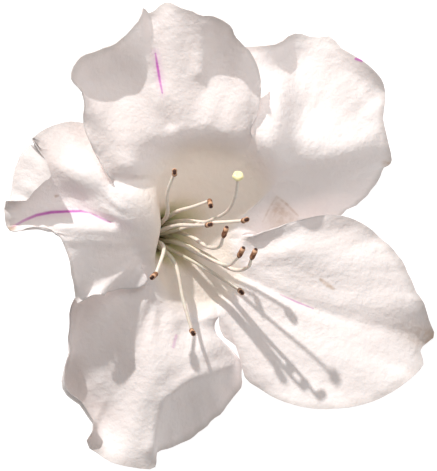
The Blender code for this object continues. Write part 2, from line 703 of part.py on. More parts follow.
def filament_path(anther, way, bends, slot):
    """Up through the tube on the ring, and then out through the bends to just under the anther."""
    ring = ring_direction(np.array(slot))
    inside = [along_axis(distance) + ring * STAMEN_RING for distance in (GAP, TUBE_LENGTH * PARTING)]
    mouth = along_axis(TUBE_LENGTH) + ring * MOUTH_RING
    knots = inside + [mouth] + [np.array(bend) for bend in bends]
    knots.append(np.array(anther) - unit(np.array(way)) * (ANTHER_LENGTH / 2 + GAP))
    return Curve(knots)


def add_stamens(filament_finish, anther_finish, collection):
    """Ten filaments, each with its anther."""
    for number, (anther, way, bends, slot) in enumerate(STAMENS, 1):
        curve = filament_path(anther, way, bends, slot)
        places = np.linspace(0.0, curve.places[-1], FILAMENT_STEPS + 1)
        path = curve.at(places)
        radii = np.linspace(FILAMENT_RADIUS, FILAMENT_RADIUS * FILAMENT_TAPER, len(path))
        add_tube(f"filament_{number:02d}", path, list(radii), filament_finish, collection)
        half = ANTHER_LENGTH / 2
        sections = [(half * height, ANTHER_WIDTH / 2 * radius) for height, radius in ANTHER_SECTIONS]
        name = f"anther_{number:02d}"
        add_round(name, anther, unit(np.array(way)), sections, ANTHER_LOBES, anther_finish, collection)


def add_pistil(style_finish, stigma_finish, ovary_finish, collection):
    """The ovary in the tube's foot, the style and the stigma."""
    sections = [(OVARY_LENGTH * height, OVARY_RADIUS * radius) for height, radius in OVARY_SECTIONS]
    add_round("ovary", along_axis(GAP), AXIS, sections, OVARY_LOBES, ovary_finish, collection)
    top = np.array(STIGMA)
    starts = (OVARY_LENGTH + OVARY_TIP, TUBE_LENGTH * STYLE_PARTING, TUBE_LENGTH)
    knots = [along_axis(distance) for distance in starts]
    knots += [np.array(bend) for bend in STYLE_BENDS]
    knots.append(top - unit(top - knots[-1]) * (STIGMA_RADIUS * STIGMA_SEAT + GAP))
    curve = Curve(knots)
    path = curve.at(np.linspace(0.0, curve.places[-1], STYLE_STEPS + 1))
    add_tube("style", path, [STYLE_RADIUS] * len(path), style_finish, collection)
    sections = [(STIGMA_RADIUS * height, STIGMA_RADIUS * radius) for height, radius in STIGMA_SECTIONS]
    direction = unit(path[-1] - path[-2])
    add_round("stigma", top, direction, sections, STIGMA_LOBES, stigma_finish, collection)


def calyx_row(place):
    """The calyx from its foot to its rim, at a place counted in sepals round the tube."""
    ring = ring_direction(np.array(SEAM_ANGLE + 360.0 * place / SEPALS))
    pointed = abs(place % 1.0 - 0.5) * 2
    shares = np.linspace(0.0, 1.0, SEPAL_STEPS + 1)[:, None]
    reach = SEPAL_REACH * (SEPAL_NOTCH + (1.0 - SEPAL_NOTCH) * pointed)
    foot_radius = FOOT_RADIUS + PETAL_THICKNESS / 2 + GAP + SEPAL_THICKNESS / 2
    radius = foot_radius + (SEPAL_FLARE + SEPAL_TIP_FLARE * pointed) * shares
    return along_axis(0.0) + AXIS * reach * shares + ring * radius


def add_stalk(finish, collection):
    """The small calyx round the tube's foot, the receptacle that the flower sits on, and the cut stalk."""
    places = np.linspace(0.0, SEPALS, SEPALS * SEPAL_CELLS + 1)
    rows = np.array([calyx_row(place) for place in places])
    add_sheet("calyx", rows, SEPAL_THICKNESS, finish, collection, closed=True)
    size = (RECEPTACLE_LENGTH, RECEPTACLE_RADIUS)
    sections = [(size[0] * height, size[1] * radius) for height, radius in RECEPTACLE_SECTIONS]
    middle = along_axis(-RECEPTACLE_LENGTH - GAP)
    add_round("receptacle", middle, AXIS, sections, RECEPTACLE_LOBES, finish, collection)
    top = along_axis(-RECEPTACLE_LENGTH - PEDICEL_SEAT)
    curve = Curve([top, top - AXIS * PEDICEL_NECK] + [np.array(place) for place in PEDICEL_PATH])
    path = curve.at(np.linspace(0.0, curve.places[-1], PEDICEL_STEPS + 1))
    add_tube("pedicel", path, [PEDICEL_RADIUS] * len(path), finish, collection)


def build():
    """The whole bloom."""
    clear_scene()
    bloom = bpy.data.collections.new("azalea bloom")
    bpy.context.scene.collection.children.link(bloom)
    petal_finish = finish_material("petal white", PETAL_WHITE, 0.5)
    funnel_finish = finish_material("funnel cream", FUNNEL_CREAM, 0.5)
    filament_finish = finish_material("filament cream", FILAMENT_CREAM, 0.45)
    anther_finish = finish_material("anther brown", ANTHER_BROWN, 0.7)
    stigma_finish = finish_material("stigma yellow", STIGMA_YELLOW, 0.35)
    stalk_finish = finish_material("stalk green", STALK_GREEN, 0.6)
    add_corolla(petal_finish, funnel_finish, bloom)
    add_stamens(filament_finish, anther_finish, bloom)
    add_pistil(filament_finish, stigma_finish, stalk_finish, bloom)
    add_stalk(stalk_finish, bloom)


build()
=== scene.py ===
"""Azalea bloom, as cut: the petals, stamens, pistil and stalk that dress the solids, with their finishes.

Metres, +Z up. The bloom lies on Z = 0 with its mouth turned up, and the camera looks straight down on it.
Sizes below are in millimetres.
"""
import math

import bpy
import numpy as np
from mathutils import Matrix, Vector


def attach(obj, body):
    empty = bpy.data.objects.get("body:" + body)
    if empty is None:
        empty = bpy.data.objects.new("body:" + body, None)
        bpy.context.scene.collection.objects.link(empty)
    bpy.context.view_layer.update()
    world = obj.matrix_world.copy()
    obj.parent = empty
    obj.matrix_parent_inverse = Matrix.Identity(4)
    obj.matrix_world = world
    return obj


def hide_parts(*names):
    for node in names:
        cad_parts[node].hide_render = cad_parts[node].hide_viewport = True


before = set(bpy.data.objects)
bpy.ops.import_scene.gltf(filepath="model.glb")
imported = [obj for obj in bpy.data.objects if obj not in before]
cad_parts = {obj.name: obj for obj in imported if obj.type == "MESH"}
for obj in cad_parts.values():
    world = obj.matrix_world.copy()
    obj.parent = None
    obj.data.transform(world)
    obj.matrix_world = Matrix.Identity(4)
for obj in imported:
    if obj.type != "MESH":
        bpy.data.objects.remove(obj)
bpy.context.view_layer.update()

MM = 0.001
UNDER_MIDDLE = (0.574, -0.375, -0.047)  # the point that the origin stands for
GAP = 0.3  # clear space between neighbouring solids

# The flower's axis runs from the stalk out through the throat
AXIS = np.array((0.629, -0.134, 0.766))
THROAT = np.array((-11.0, 0.3, 9.6))  # middle of the ring where the narrow tube ends and the funnel starts
THROAT_RADIUS = 3.0
FOOT_RADIUS = 2.35
TUBE_LENGTH = 8.0
THROAT_PULL = 1.15  # how long the funnel's wall follows the tube before it opens
SHOULDER = 1.6  # how far a bend runs on into the next stretch of wall, against the stretch before it
SEAM_ANGLE = 80.0  # where the first seam leaves the throat, in degrees round the axis
# The wall runs out toward a margin evened out over this share of the petal's width to either side
EVENED = 0.16
EVENING = np.linspace(-1.0, 1.0, 17)[1:-1]
EVENING_WEIGHTS = 1.0 + np.cos(EVENING * math.pi)
EVENING_WEIGHTS /= EVENING_WEIGHTS.sum()
RUFFLE_DEPTH = 6.0  # the power with which the ruffles grow toward the margin
OUTER_BEND = 0.5  # how far the bend before the margin runs on into it
FUNNEL_SWELL = (2.6, 0.8)  # how far outward the funnel's own swellings reach, and over what length they fade
FULL_TURN = 0.4  # the share of a fold at which its margin is turned all the way

# Rings that the wall passes through, clockwise from the seam between the top and the upper right petal: a
# point on each seam, and one under the middle of each petal
WAIST = (
    (3.4, 12.4, 15.8), (7, 7.6, 13), (1, -0.2, 9.8), (2.8, -7.6, 8.9), (-1, -11, 9.2),
    (-8.4, -9.3, 11.6), (-10.8, -4.8, 15.4), (-10, 1.6, 18.6), (-10.2, 8.6, 18.4), (-7, 13, 17.6),
)
RIM = (
    (5.7, 16.7, 20.8), (11.4, 11, 14.6), (3.7, -0.1, 10.4), (6.4, -8.8, 9.2), (0.1, -13.7, 10),
    (-9.6, -14.5, 11.6), (-13, -5.5, 16.2), (-16.5, 2.2, 22.6), (-17.7, 8.9, 23.2), (-8.6, 17.6, 23.6),
)

# A petal's margin, clockwise without the rim's points on the seams: the number of the point where the midrib
# ends, counted from the seam, and each point's x, y, z and how steeply it turns up, if it does (minus: down)
PETALS = {
    "petal_upper_right": (17, (
        (4.1, 19.9, 20.2), (2.5, 23.8, 20.6), (2, 28.1, 21.4), (3.7, 31.5, 21.2, 0.4), (7.4, 32.2, 21.2, 0.5),
        (10.5, 33.1, 20, 0.4), (13.3, 34.3, 18), (16.4, 33.6, 16.5), (19.3, 33.7, 16.5, 0.3),
        (20.4, 32.1, 16.5, 0.5), (22.8, 31, 16.5, 0.6), (25.6, 29.5, 16.5, 0.6), (27, 27.5, 15.5, 0.4),
        (28.5, 24.4, 12.5), (28, 19.8, 11, -0.2), (29, 15.2, 9, -0.3), (29.4, 12.5, 6, -0.5),
        (27.9, 9.9, 2.5, -0.5), (25.7, 7, 0.2, -0.4), (21.8, 3.9, 0.6, -0.3), (17, 1.3, 3.8), (12, -0.2, 6.6),
        (8.2, -0.6, 8.4), (5.6, 0.3, 9.6),
    )),
    "petal_lower_right": (11, (
        (5.8, -0.2, 11.8), (8.8, 1.1, 11.4), (13.9, 2.6, 10.2, -0.2), (18.1, 3.5, 8.4, -0.2),
        (21.9, 3.2, 7.4, -0.3), (25.1, 1.8, 6.4, -0.3), (28.2, -0.8, 5.8, -0.3), (31.3, -4.2, 5.4, -0.3),
        (33.8, -9.4, 4.6, -0.3), (36.1, -13.7, 2.6, -0.5), (37.1, -17.7, 0.5, -0.6), (35.8, -18.7, 0.9, -0.5),
        (34.6, -19.6, 2.2, -0.4), (35.3, -21.5, 3.2, -0.2), (33.3, -24.2, 6.6), (28.6, -27.4, 8.6, 0.1),
        (22.9, -29.3, 9.6, 0.2), (17.4, -29.7, 9.8, 0.2), (10.6, -28.2, 9.2, 0.1), (6.8, -26.1, 8.4),
        (4.2, -24.2, 7.8), (3.8, -21.6, 8), (3, -18.9, 8.4), (0.9, -17.3, 8.6), (0.1, -15.2, 9.3),
    )),
    "petal_bottom": (12, (
        (-0.9, -15.2, 8.8), (-0.2, -17.8, 7.2), (2.4, -20.1, 5.8, -0.5), (4.2, -22.7, 4.2, -0.5),
        (4.2, -25.3, 3.6, -0.5), (1.8, -28.4, 3.4, -0.5), (-1.3, -31.7, 3.4, -0.5), (-3.5, -34.1, 3.8, -0.5),
        (-5.4, -35.6, 4.5, -0.5), (-8.3, -36.4, 5.8), (-10.7, -37.6, 7.5), (-10.8, -39.6, 8.5),
        (-14.8, -39.6, 9), (-18.9, -38.5, 10, 0.4), (-20.9, -37, 9.8, 0.3), (-22.3, -35, 10.4, 0.4),
        (-21.6, -33.2, 10.6, 0.4), (-23.6, -30, 11, 0.4), (-25.7, -27.7, 11.4, 0.4),
        (-26.7, -24.7, 11.8, 0.4), (-26, -21.6, 12, 0.2), (-25.3, -17, 12.2), (-23.6, -11.9, 12.4),
        (-21.1, -8.1, 12.6), (-17.6, -5.9, 13), (-14.7, -5.2, 14.5),
    )),
    "petal_left": (12, (
        (-12.1, -7.5, 16.1), (-13.1, -8.7, 15.9), (-15.8, -9.2, 16.4), (-18.3, -9.7, 18.2),
        (-21, -10.4, 21.4), (-23.9, -11.4, 20.6), (-24.2, -9.2, 22), (-25, -6.1, 24.6), (-25.6, -2.4, 26.4),
        (-27.2, 0.6, 27.8, -0.3), (-31, 1.6, 29.2, -0.3), (-35, 0.8, 29.4, -0.3), (-35.9, 3.4, 29.6, -0.3),
        (-35.5, 7.3, 29.8, 0.5), (-34.4, 12, 29.2, 0.5), (-31.8, 15.7, 28, 0.5), (-28.8, 18.1, 25.8),
        (-25.7, 19.1, 24), (-22.7, 18.8, 22), (-20.2, 16.1, 20.8), (-18.7, 12.8, 21.2), (-18.2, 10.6, 22),
    )),
    "petal_top": (13, (
        (-18.3, 9.7, 25.4), (-19.9, 12.7, 25.8), (-22.1, 16.5, 26.8), (-22.7, 19.7, 27.2, 0.2),
        (-22.5, 22.7, 28.4, 0.7), (-23.2, 24.7, 30.2, 1.1), (-24.7, 26.2, 31.4, 1.3),
        (-23.2, 29.7, 32.2, 1.3), (-19.9, 31.1, 31.4, 1.2), (-16.2, 33.1, 30.8, 0.8), (-13.8, 35, 30.4, 0.6),
        (-12.7, 38.3, 30, -0.3), (-11.7, 37.3, 29.4, -0.3), (-9.1, 39, 29.4, -0.3), (-4.8, 37.6, 30.8, 0.6),
        (-1.9, 36.2, 32.4, 1.5), (0.8, 36.2, 33.4, 1.8), (2.9, 33.3, 30, 1.4), (5.4, 30.7, 25, 0.4),
        (7.1, 26.9, 22.4), (7, 22.7, 22.4, -0.1), (6.3, 19.8, 22.2), (5.3, 17.7, 21.7),
    )),
}

# Folds that stand up from a petal (minus: sink into it): the line that the fold follows in plan, how far it
# reaches to either side, how soft its edge is, and its height
FOLDS = {
    "petal_upper_right": ((((8, 21), (11, 27), (14.5, 33)), 1.6, 1.8, 0.8),),
    "petal_lower_right": (
        (((3.5, -6.5), (10.6, -10.1), (16.2, -12.5), (27, -15.7), (36, -17.6)), 0.6, 0.9, -0.5),
        (((4.6, -22.6), (7.4, -24.4)), 1.1, 0.9, 0.35),
    ),
    "petal_bottom": ((((-11.4, -36.5), (-9.4, -28), (-4.6, -24.4), (2.4, -22.6)), 1, 1.2, 1.7),),
    "petal_left": ((((-34.6, 1.6), (-32, 3.2), (-28.6, 3.9), (-22.7, 4.1), (-18.3, 2.3)), 0.5, 0.7, -1.3),),
    "petal_top": (
        (((-8.2, 19), (-9.4, 24), (-10.6, 31.5), (-11.4, 36)), 0.9, 1.2, -1),
        (((-9.8, 26.5), (-10.6, 31.5), (-11.8, 36.5)), 0.9, 1.6, -1.2),
        (((-2.2, 35), (-3.2, 27.5)), 0.7, 1, 1.3),
    ),
}
# Rounded swellings of a petal (minus: hollows): the middle's x and y, the reach along and across, how far the
# long way is turned from X in degrees, and the height
SWELLS = {
    "funnel": ((-15.4, -3.4, 3.4, 3.8, 0, -1.2), (-14, 6, 4, 2.8, 0, 1.7)),
    "petal_upper_right": (
        (20, 14.8, 9, 3.2, -4, 2.4), (12, 29.2, 3.2, 2.2, 60, -2), (23.2, 27.4, 3, 2, -50, -1.8),
        (29, 23, 2.6, 3.6, 0, 1.6), (8, 4.5, 3.4, 3.4, 0, -1.2), (10.2, 21, 1.9, 5, 0, 2),
    ),
    "petal_lower_right": (
        (20, -3, 9, 3, -8, 0.6), (24, -20, 8, 5, -20, 1.2), (13.2, -2.2, 3.6, 2.4, 0, 1.2),
        (32, -14.5, 5, 3.4, -25, 1.4), (23.5, 3.4, 6, 1.7, -22, 1.2),
    ),
    "petal_bottom": (
        (-12, -27, 10, 2.2, 76, 1.6), (-2.6, -20.8, 5.6, 3.2, 8, 2), (-8, -24.8, 4.5, 2.6, 35, 1.2),
        (-16.5, -17.5, 4.5, 5.5, 0, 1.5), (-18, -26, 8, 2.4, 85, -0.8), (-22, -29.6, 5, 1.9, -55, -1.7),
        (-25.6, -27, 4, 1.9, -55, 0.8),
    ),
    "petal_left": (
        (-22.5, 1.2, 3.6, 1.5, -6, 0.5), (-24.6, 10.6, 4.5, 2.2, -30, 1.9), (-20.8, 12.6, 2.6, 3, 0, 1.1),
        (-28, 5.6, 4, 1.6, 0, -1.8),
    ),
    "petal_top": (
        (-18.6, 16.2, 4.2, 2, 105, 0.7), (-15.4, 13.8, 4.6, 1.9, 95, 1.2), (-14.2, 11.6, 1.8, 1.8, 0, 1.1),
        (1.5, 17, 6, 1.4, 0, 0.5), (-17, 27, 4, 3, 25, -1), (-21.4, 21.4, 3, 2.6, 0, 1.4),
        (-14.8, 33.2, 2.2, 2.8, 0, 1), (8, 25.6, 2.4, 4, 0, 1.2),
    ),
}
SEAM_SHARE = 0.08  # folds fade out over this share of a petal's width beside each seam

# Where a margin is turned back over its petal: shares of the way across with how much of the fold there is at
# each, its length, how far it is turned, in degrees, and the length of the bend
TURNED_BACK = {
    "petal_left": (
        ((0.55, 0), (0.575, 0.5), (0.62, 0.75), (0.672, 1), (0.695, 0.8), (0.72, 0)), 7.2, 128, 2.6,
    ),
    "petal_bottom": (
        ((0.6, 0), (0.66, 0.7), (0.74, 1), (0.82, 0.9), (0.87, 0.6), (0.9, 0)), 2.4, 100, 3.2,
    ),
}

# Stamens: the anther's middle and the way it points, the filament's bends after the throat, and its place in
# degrees round the tube
STAMENS = (
    ((-7.4, 10.6, 25.5), (0, 0.1, 1), ((-8.7, 3.6, 17.4), (-8.6, 7.4, 22)), 142),
    ((-1.4, 5.4, 22.6), (0.1, -0.45, 0.9), ((-7, 4.1, 15.6), (-4.2, 4.9, 19.2)), 112),
    ((4.5, 2.6, 21.4), (0.25, 0.1, 0.95), ((-6.4, 2.5, 14.2), (-1.5, 2.2, 16.8)), 76),
    ((-1.6, 1.8, 28.6), (0.2, 0.05, 0.95), ((-7.2, 1.7, 17.2), (-4, 1.7, 22.8)), 186),
    ((1.1, 0.6, 26.6), (0.3, 0.85, 0.45), ((-4.8, -0.1, 14), (-1.8, -1.9, 17), (0.2, -1.8, 22)), 40),
    ((3.8, -2.8, 26.4), (0.42, 0.8, 0.45), ((-6.6, -1.4, 13.4), (-2.4, -3.6, 16), (1.4, -5, 20)), -32),
    ((5.9, -3.1, 27.8), (0.4, 0.85, 0.4), ((-2.6, -3, 14), (2.6, -5.8, 18), (5, -5.3, 23)), 4),
    ((-10.9, -6.8, 23), (-0.3, -0.3, 0.9), ((-9.3, -2, 16.6), (-9.8, -4.4, 20.4)), 222),
    ((3.8, -9.5, 19.6), (0.1, -0.1, 1), ((-4.4, -4.3, 13.4), (0.4, -7.2, 16)), -68),
    ((-4.4, -16.4, 17), (0.1, -0.15, 0.95), ((-7.6, -4.4, 14.2), (-6, -11, 15.4)), -104),
)
STAMEN_RING = 1.5  # radius on which the filaments stand round the ovary
MOUTH_RING = 1.6  # radius on which they pass the throat
FILAMENT_RADII = ((0.0, 0.3, 0.6, 1.0), (0.28, 0.39, 0.36, 0.28))  # at shares of the length
PARTING = 0.55  # share of the tube's length up to which the filaments stand straight round the ovary
ANTHER_LENGTH = 2.3
ANTHER_WIDTH = 1.25
ANTHER_SEAT = 0.1  # how far the filament reaches into the anther
ANTHER_LOBES = (2, 0.16)  # how many round it, and how deep
ANTHER_GROOVE = (0.26, 0.3)  # how deep between the two sacs, and how wide, in radians
ANTHER_WAIST = (0.1, 0.35)  # how deep halfway, and over what share of the length
ANTHER_NOTCH = 0.22  # how deep the groove cuts into the ends
OVARY_LENGTH = 3.2
OVARY_RADIUS = 0.9
OVARY_LOBES = (5, 0.05)
OVARY_TAPER = 0.22
STYLE_PARTING = 0.75  # share of the tube's length up to which the style stands straight
STYLE_RADIUS = 0.33
STYLE_TAPER = 0.85  # its radius at the stigma, against the radius at its foot
STYLE_BENDS = ((-5.4, 1.4, 15.0), (-0.8, 2.8, 20.8), (1.6, 4.2, 25.2), (2.9, 7.0, 30.4))
STIGMA = (3.25, 9.9, 35.0)
STIGMA_RADIUS = 0.95
STIGMA_LOBES = (5, 0.04)
STIGMA_HEIGHTS = (0.72, 0.66)  # above and below its middle, against its radius
STIGMA_DIMPLE = (0.22, 0.45)  # how deep and how wide, against its radius
STIGMA_SEAT = 0.5  # how far from its middle the style ends, against its radius

# Behind the tube
RECEPTACLE_RADIUS = 2.35
RECEPTACLE_LENGTH = 1.6
RECEPTACLE_LOBES = (5, 0.03)
RECEPTACLE_TAPER = 0.22  # how much it narrows toward the stalk
SEPALS = 5
SEPAL_REACH = 2.6
SEPAL_NOTCH = 0.35  # how far up the sepals are one cup, against their reach
SEPAL_POINT = 1.4  # the power with which they rise to their points
SEPAL_FLARE = 0.3
SEPAL_TIP_FLARE = 0.4
SEPAL_SINK = 0.8  # how far the cup's foot reaches down round the receptacle
SEPAL_DRAW = 0.4  # how far it is drawn in there
SEPAL_THICKNESS = 0.45
SEPAL_THINNESS = 0.8  # the dressed sepals' thickness against the solid's
WALL_AT_FOOT = 0.5  # the solid tube's wall
PEDICEL_RADIUS = 0.75
PEDICEL_WAIST = 0.08  # how much thinner it is halfway
PEDICEL_NECK = 1.16  # how far under the receptacle the stalk's bend starts
PEDICEL_CUT = -26.0
PEDICEL_PATH = ((-19.3, 2.2, 0.85), (-22.2, 3.3, 0.8), (PEDICEL_CUT, 4.2, 0.8))

# How fine the pieces are
PETAL_ACROSS = 80
TUBE_RINGS = 9
FUNNEL_RINGS = 22
BLADE_RINGS = 54
SEPAL_ACROSS = 16
SEPAL_RINGS = 8
FILAMENT_STEPS = 48
STYLE_STEPS = 60
PEDICEL_STEPS = 40
PETAL_EDGE_ANGLE = 60.0  # edges sharper than this, in degrees, stay sharp
STEM_EDGE_ANGLE = 50.0

# The petals' wall and its fine relief, with places by how far outward they lie, as in wall below
FOOT_PLACE = -1.0
MARGIN_PLACE = 3.0
THROAT_THICKNESS = 0.34
MARGIN_THINNESS = 0.45  # the margin's thickness against the throat's
RELIEF_START = 1.6
RELIEF_FADE = 0.8
RELIEF_SEAM_SHARE = 0.12  # the relief fades out over this share of a petal's width beside each seam
RIPPLES = (9, 0.3)  # how many, and how high
RIPPLE_WAVES = (2.0, 9.0)  # fewest and most waves across a petal
RIPPLE_SLANT = 1.4
MARGIN_RIPPLES = (7, 0.55)
MARGIN_CROWDING = 3  # how many times closer the margin's ripples stand
MARGIN_RIPPLE_DEPTH = 5  # the power with which they grow toward the margin
MARGIN_SEED = 50

# Finishes
PETAL_WHITE = (0.92, 0.835, 0.815)
PETAL_BLUSH = (0.9, 0.79, 0.765)
FUNNEL_TAN = (0.92, 0.8, 0.715)
# painted shade for the top petal's blade
TOP_PETAL_SHADE_COLOUR = (0.78, 0.7, 0.68)
# grey of the painted shade drawn along the lines below
PAINTED_SHADE_GREY = (0.68, 0.61, 0.59)
PETAL_EDGE = (0.6, 0.55, 0.53)
THROAT_TAN = (0.66, 0.56, 0.4)
# green of the throat, made darker as painted shade deep in the tube
THROAT_OLIVE_SHADE = (0.15, 0.15, 0.012)
TUBE_PALE = (0.62, 0.66, 0.4)
STREAK_PURPLE = (0.5, 0.13, 0.45)
# brown of the bruises and of the painted shade on a fold
BRUISE_AND_SHADE_BROWN = (0.42, 0.27, 0.16)
FILAMENT_CREAM = (0.84, 0.75, 0.65)
FILAMENT_GREEN = (0.6, 0.54, 0.34)
ANTHER_BROWN = (0.16, 0.06, 0.028)
ANTHER_TAN = (0.4, 0.2, 0.1)
ANTHER_RIM = (0.62, 0.36, 0.22)
ANTHER_PORE = (0.05, 0.015, 0.008)
STIGMA_YELLOW = (0.88, 0.8, 0.44)
STALK_GREEN = (0.22, 0.31, 0.09)
STALK_RED = (0.3, 0.16, 0.08)
CUT_PALE = (0.62, 0.62, 0.38)
TISSUE_SCATTER = (1.0, 0.8, 0.7)
SHADED_PETAL = 4  # the number in PETALS of the petal whose blade gets painted shade
TOP_PETAL_SHADE_REACH = (1.7, 2.3)  # from where outward to where the painted shade comes in
# How a petal's colour turns outward: the colour, from where to where it comes in, and how strongly
PETAL_TINTS = (
    (PETAL_EDGE, 2.93, 3.0, 0.7),
    (FUNNEL_TAN, 1.8, 0.9, 1.0),
    (THROAT_TAN, 0.55, 0.12, 1.0),
    # the olive deep in the throat is partly painted shade
    (THROAT_OLIVE_SHADE, 0.22, -0.15, 1.0),
)
TUBE_FACES = (-0.06, 0.1)  # from the inner face to the outer face, against the wall's middle
VEIN_STRETCH = (230.0, 20.0, 1.0)  # across the petal and outward
VEIN_GROWTH = (1.4, 2.4, 0.12, 0.6)  # from where to where outward they grow, and how strong they are there
VEIN_DEPTH = 0.12
CREASE_DEPTH = 0.36
GRAIN_DEPTH = 0.12
MARK_EDGE = (0.3, 2.2)  # where a drawn line starts to fade and where it ends, against its half width
SAME_NUMBER = 0.4  # petals' numbers nearer than this are the same
FLECKS = (0.3, 0.7)  # the part of a noise that a fine pattern is made from

# Purple streaks and their pale edges: the petal's number in PETALS, and points in plan, each with how strong
# the mark is there and its half width
STREAKS = (
    (4, ((-10.6, 30.6, 0.7, 0.12), (-10.25, 28.4, 1, 0.2), (-9.9, 26.2, 0.9, 0.18), (-9.45, 24, 0.7, 0.12))),
    (4, ((-10.6, 30.8, 0.2, 0.5), (-9.8, 26, 0.22, 0.6), (-9.4, 23.6, 0.1, 0.4))),
    (0, ((23.3, 30, 0.9, 0.16), (24.3, 29.7, 0.9, 0.2))),
    (1, ((10.6, -10.1, 0.3, 0.08), (13.2, -11.3, 0.6, 0.12), (16.2, -12.5, 0.5, 0.08))),
    (2, ((-7.2, -17.1, 0.35, 0.2), (-7.7, -19, 0.35, 0.2))),
    (3, (
        (-34.6, 1.4, 0.4, 0.14), (-32.7, 2.5, 0.7, 0.17), (-30.6, 3.4, 0.9, 0.2), (-28.2, 3.9, 1, 0.22),
        (-25.6, 4.05, 1, 0.2), (-23.2, 4.1, 0.9, 0.17), (-21.6, 3.8, 0.5, 0.12), (-20.2, 3.1, 0.6, 0.16),
        (-18.2, 2.2, 0.6, 0.12),
    )),
    (3, ((-30.6, 3.2, 0.1, 0.5), (-26, 4, 0.2, 0.6), (-21, 3.4, 0.2, 0.6), (-15.6, 1.6, 0.06, 0.8))),
)
# Painted shade on the petals, as wide soft lines: on the top petal's lobes, the left petal's wing, the bottom
# petal's left margin, the lower right petal's top margin and the upper right petal's upturned corner
SHADE_LINES = (
    (4, ((-20.5, 16, 0.4, 3), (-16.5, 18.5, 0.4, 3))),
    (4, ((1.5, 16, 0.3, 3), (5, 18, 0.35, 3))),
    (3, ((-34.5, 12, 0.9, 3.6), (-30, 15.5, 1, 4.2), (-25.5, 17, 0.9, 3.4))),
    (2, (
        (-24.6, -22.5, 0.5, 1.4), (-24.6, -27.5, 0.9, 1.7), (-22.6, -31.5, 0.9, 1.1),
        (-20.9, -36.5, 0.9, 0.9),
    )),
    (1, ((14, -1.5, 0.3, 1.6), (19.5, 0.5, 0.6, 2.2), (25, 0.5, 0.5, 2))),
    (0, ((17, 29.5, 0.25, 2.2), (24, 27, 0.3, 3))),
)
# Brown bruises; the first three lines instead are painted shade, on the fold of the upper right petal's lower
# corner by its seam with the lower right petal
BRUISES_AND_FOLD_SHADE = (
    (0, ((10, 5.8, 0.3, 0.6), (10.4, 4.2, 0.5, 1.2), (10.8, 2.8, 0.4, 2))),
    (0, ((9.9, 6.6, 0.3, 0.16), (11.3, 5.6, 0.6, 0.2), (13.6, 3.4, 0.4, 0.16))),
    (0, ((9.9, 6.6, 0.3, 0.16), (8.8, 4.8, 0.4, 0.18), (7.6, 2.4, 0.2, 0.14))),
    (0, ((28.4, 12.4, 0.5, 0.4), (29.2, 12.2, 0.6, 0.5))),
    (1, ((17.4, -7.5, 0.7, 0.18), (18.4, -8.3, 0.5, 0.3), (19.7, -9.1, 0.6, 0.2))),
    (1, ((15.2, -6.5, 0.3, 0.2), (16, -6.8, 0.25, 0.3))),
    (1, ((30.6, -15.8, 0.1, 1.4), (33.6, -16.8, 0.35, 1.6), (36.8, -17.6, 0.6, 1))),
    (3, ((-27.4, 6.6, 0.6, 0.18), (-27, 6.7, 0.5, 0.14))),
    (3, ((-35.4, 0.9, 0.8, 0.4), (-34.2, 1.4, 0.6, 0.3))),
)

# Floor, lights and camera
FLOOR_SIZE = 3.0  # metres
FLOOR_PALE = (0.36, 0.36, 0.36)
FLOOR_GLOW = 0.88  # lifts the shadows on the floor
KEY_WAY = (-0.43, 0.9, 0.7)  # toward the key light
KEY_DISTANCE = 1.2  # metres
KEY_SIZE = 0.024  # metres
KEY_POWER = 14.6  # watts
KEY_COLOUR = (1.0, 0.985, 0.96)
FILL = 0.25
FILL_COLOUR = (1.0, 0.99, 0.98)
NEAR_PLACE = (0.02, 0.055, 0.11)  # metres, for a small soft lamp over the top petal
NEAR_SIZE = 0.07  # metres
NEAR_POWER = 0.055  # watts
SENSOR_WIDTH = 36.0
EYE_HEIGHT = 1.0  # metres above the middle of the bloom
MIDDLE_HEIGHT = 15.0
FRAME_HEIGHT = 0.17 * 471  # what the frame takes in at that height


def unit(vector):
    """The same direction, one long."""
    return np.divide(vector, np.linalg.norm(vector))


AXIS = unit(AXIS)
LOW_SIDE = unit(AXIS * AXIS[2] + (0, 0, -1))  # square to the axis, on the tube's lower side
CROSS_SIDE = np.cross(AXIS, LOW_SIDE)


def eased(share):
    """A share from 0 to 1 that starts and ends softly."""
    return share**2 * (3 - 2 * share)


def hermite(start, end, leaving, arriving, share):
    """Cubic from start to end with those tangents, at shares 0 to 1 of the way."""
    s = share[..., None]
    return (
        start * (2 * s**3 - 3 * s**2 + 1)
        + leaving * (s**3 - 2 * s**2 + s)
        + end * (3 * s**2 - 2 * s**3)
        + arriving * (s**3 - s**2)
    )


class Curve:
    """A smooth curve through knots. A place on it is the distance from knot to knot up to it."""

    def __init__(self, knots):
        self.knots = np.array(knots, float)
        self.steps = np.linalg.norm(np.diff(self.knots[:, :3], axis=0), axis=1)
        self.places = np.concatenate(((0.0,), np.cumsum(self.steps)))
        slopes = np.diff(self.knots, axis=0) / self.steps[:, None]
        self.tangents = np.vstack((slopes[:1], slopes))
        before, after = self.steps[:-1, None], self.steps[1:, None]
        self.tangents[1:-1] = (slopes[1:] * before + slopes[:-1] * after) / (before + after)

    def at(self, places):
        """Points on the curve."""
        first = np.clip(np.searchsorted(self.places, places, side="right") - 1, 0, len(self.steps) - 1)
        step = self.steps[first]
        share = (places - self.places[first]) / step
        leaving = self.tangents[first] * step[..., None]
        arriving = self.tangents[first + 1] * step[..., None]
        return hermite(self.knots[first], self.knots[first + 1], leaving, arriving, share)

    def spread(self, count):
        """So many points, from one end to the other."""
        return self.at(np.linspace(0.0, self.places[-1], count))

    def between(self, first, last, shares):
        """Points at shares 0 to 1 of the way from one knot to another."""
        start, end = self.places[first], self.places[last]
        return self.at(start + (end - start) * shares)


def ring_direction(angle):
    """Out from the axis, at an angle in degrees round it."""
    turn = np.radians(angle)[..., None]
    return LOW_SIDE * np.cos(turn) + CROSS_SIDE * np.sin(turn)


def round_ring(ring, number, across):
    """A ring's part under one petal."""
    curve = Curve(ring[-3:] + ring + ring[:3])
    return curve.between(3 + 2 * number, 5 + 2 * number, across)


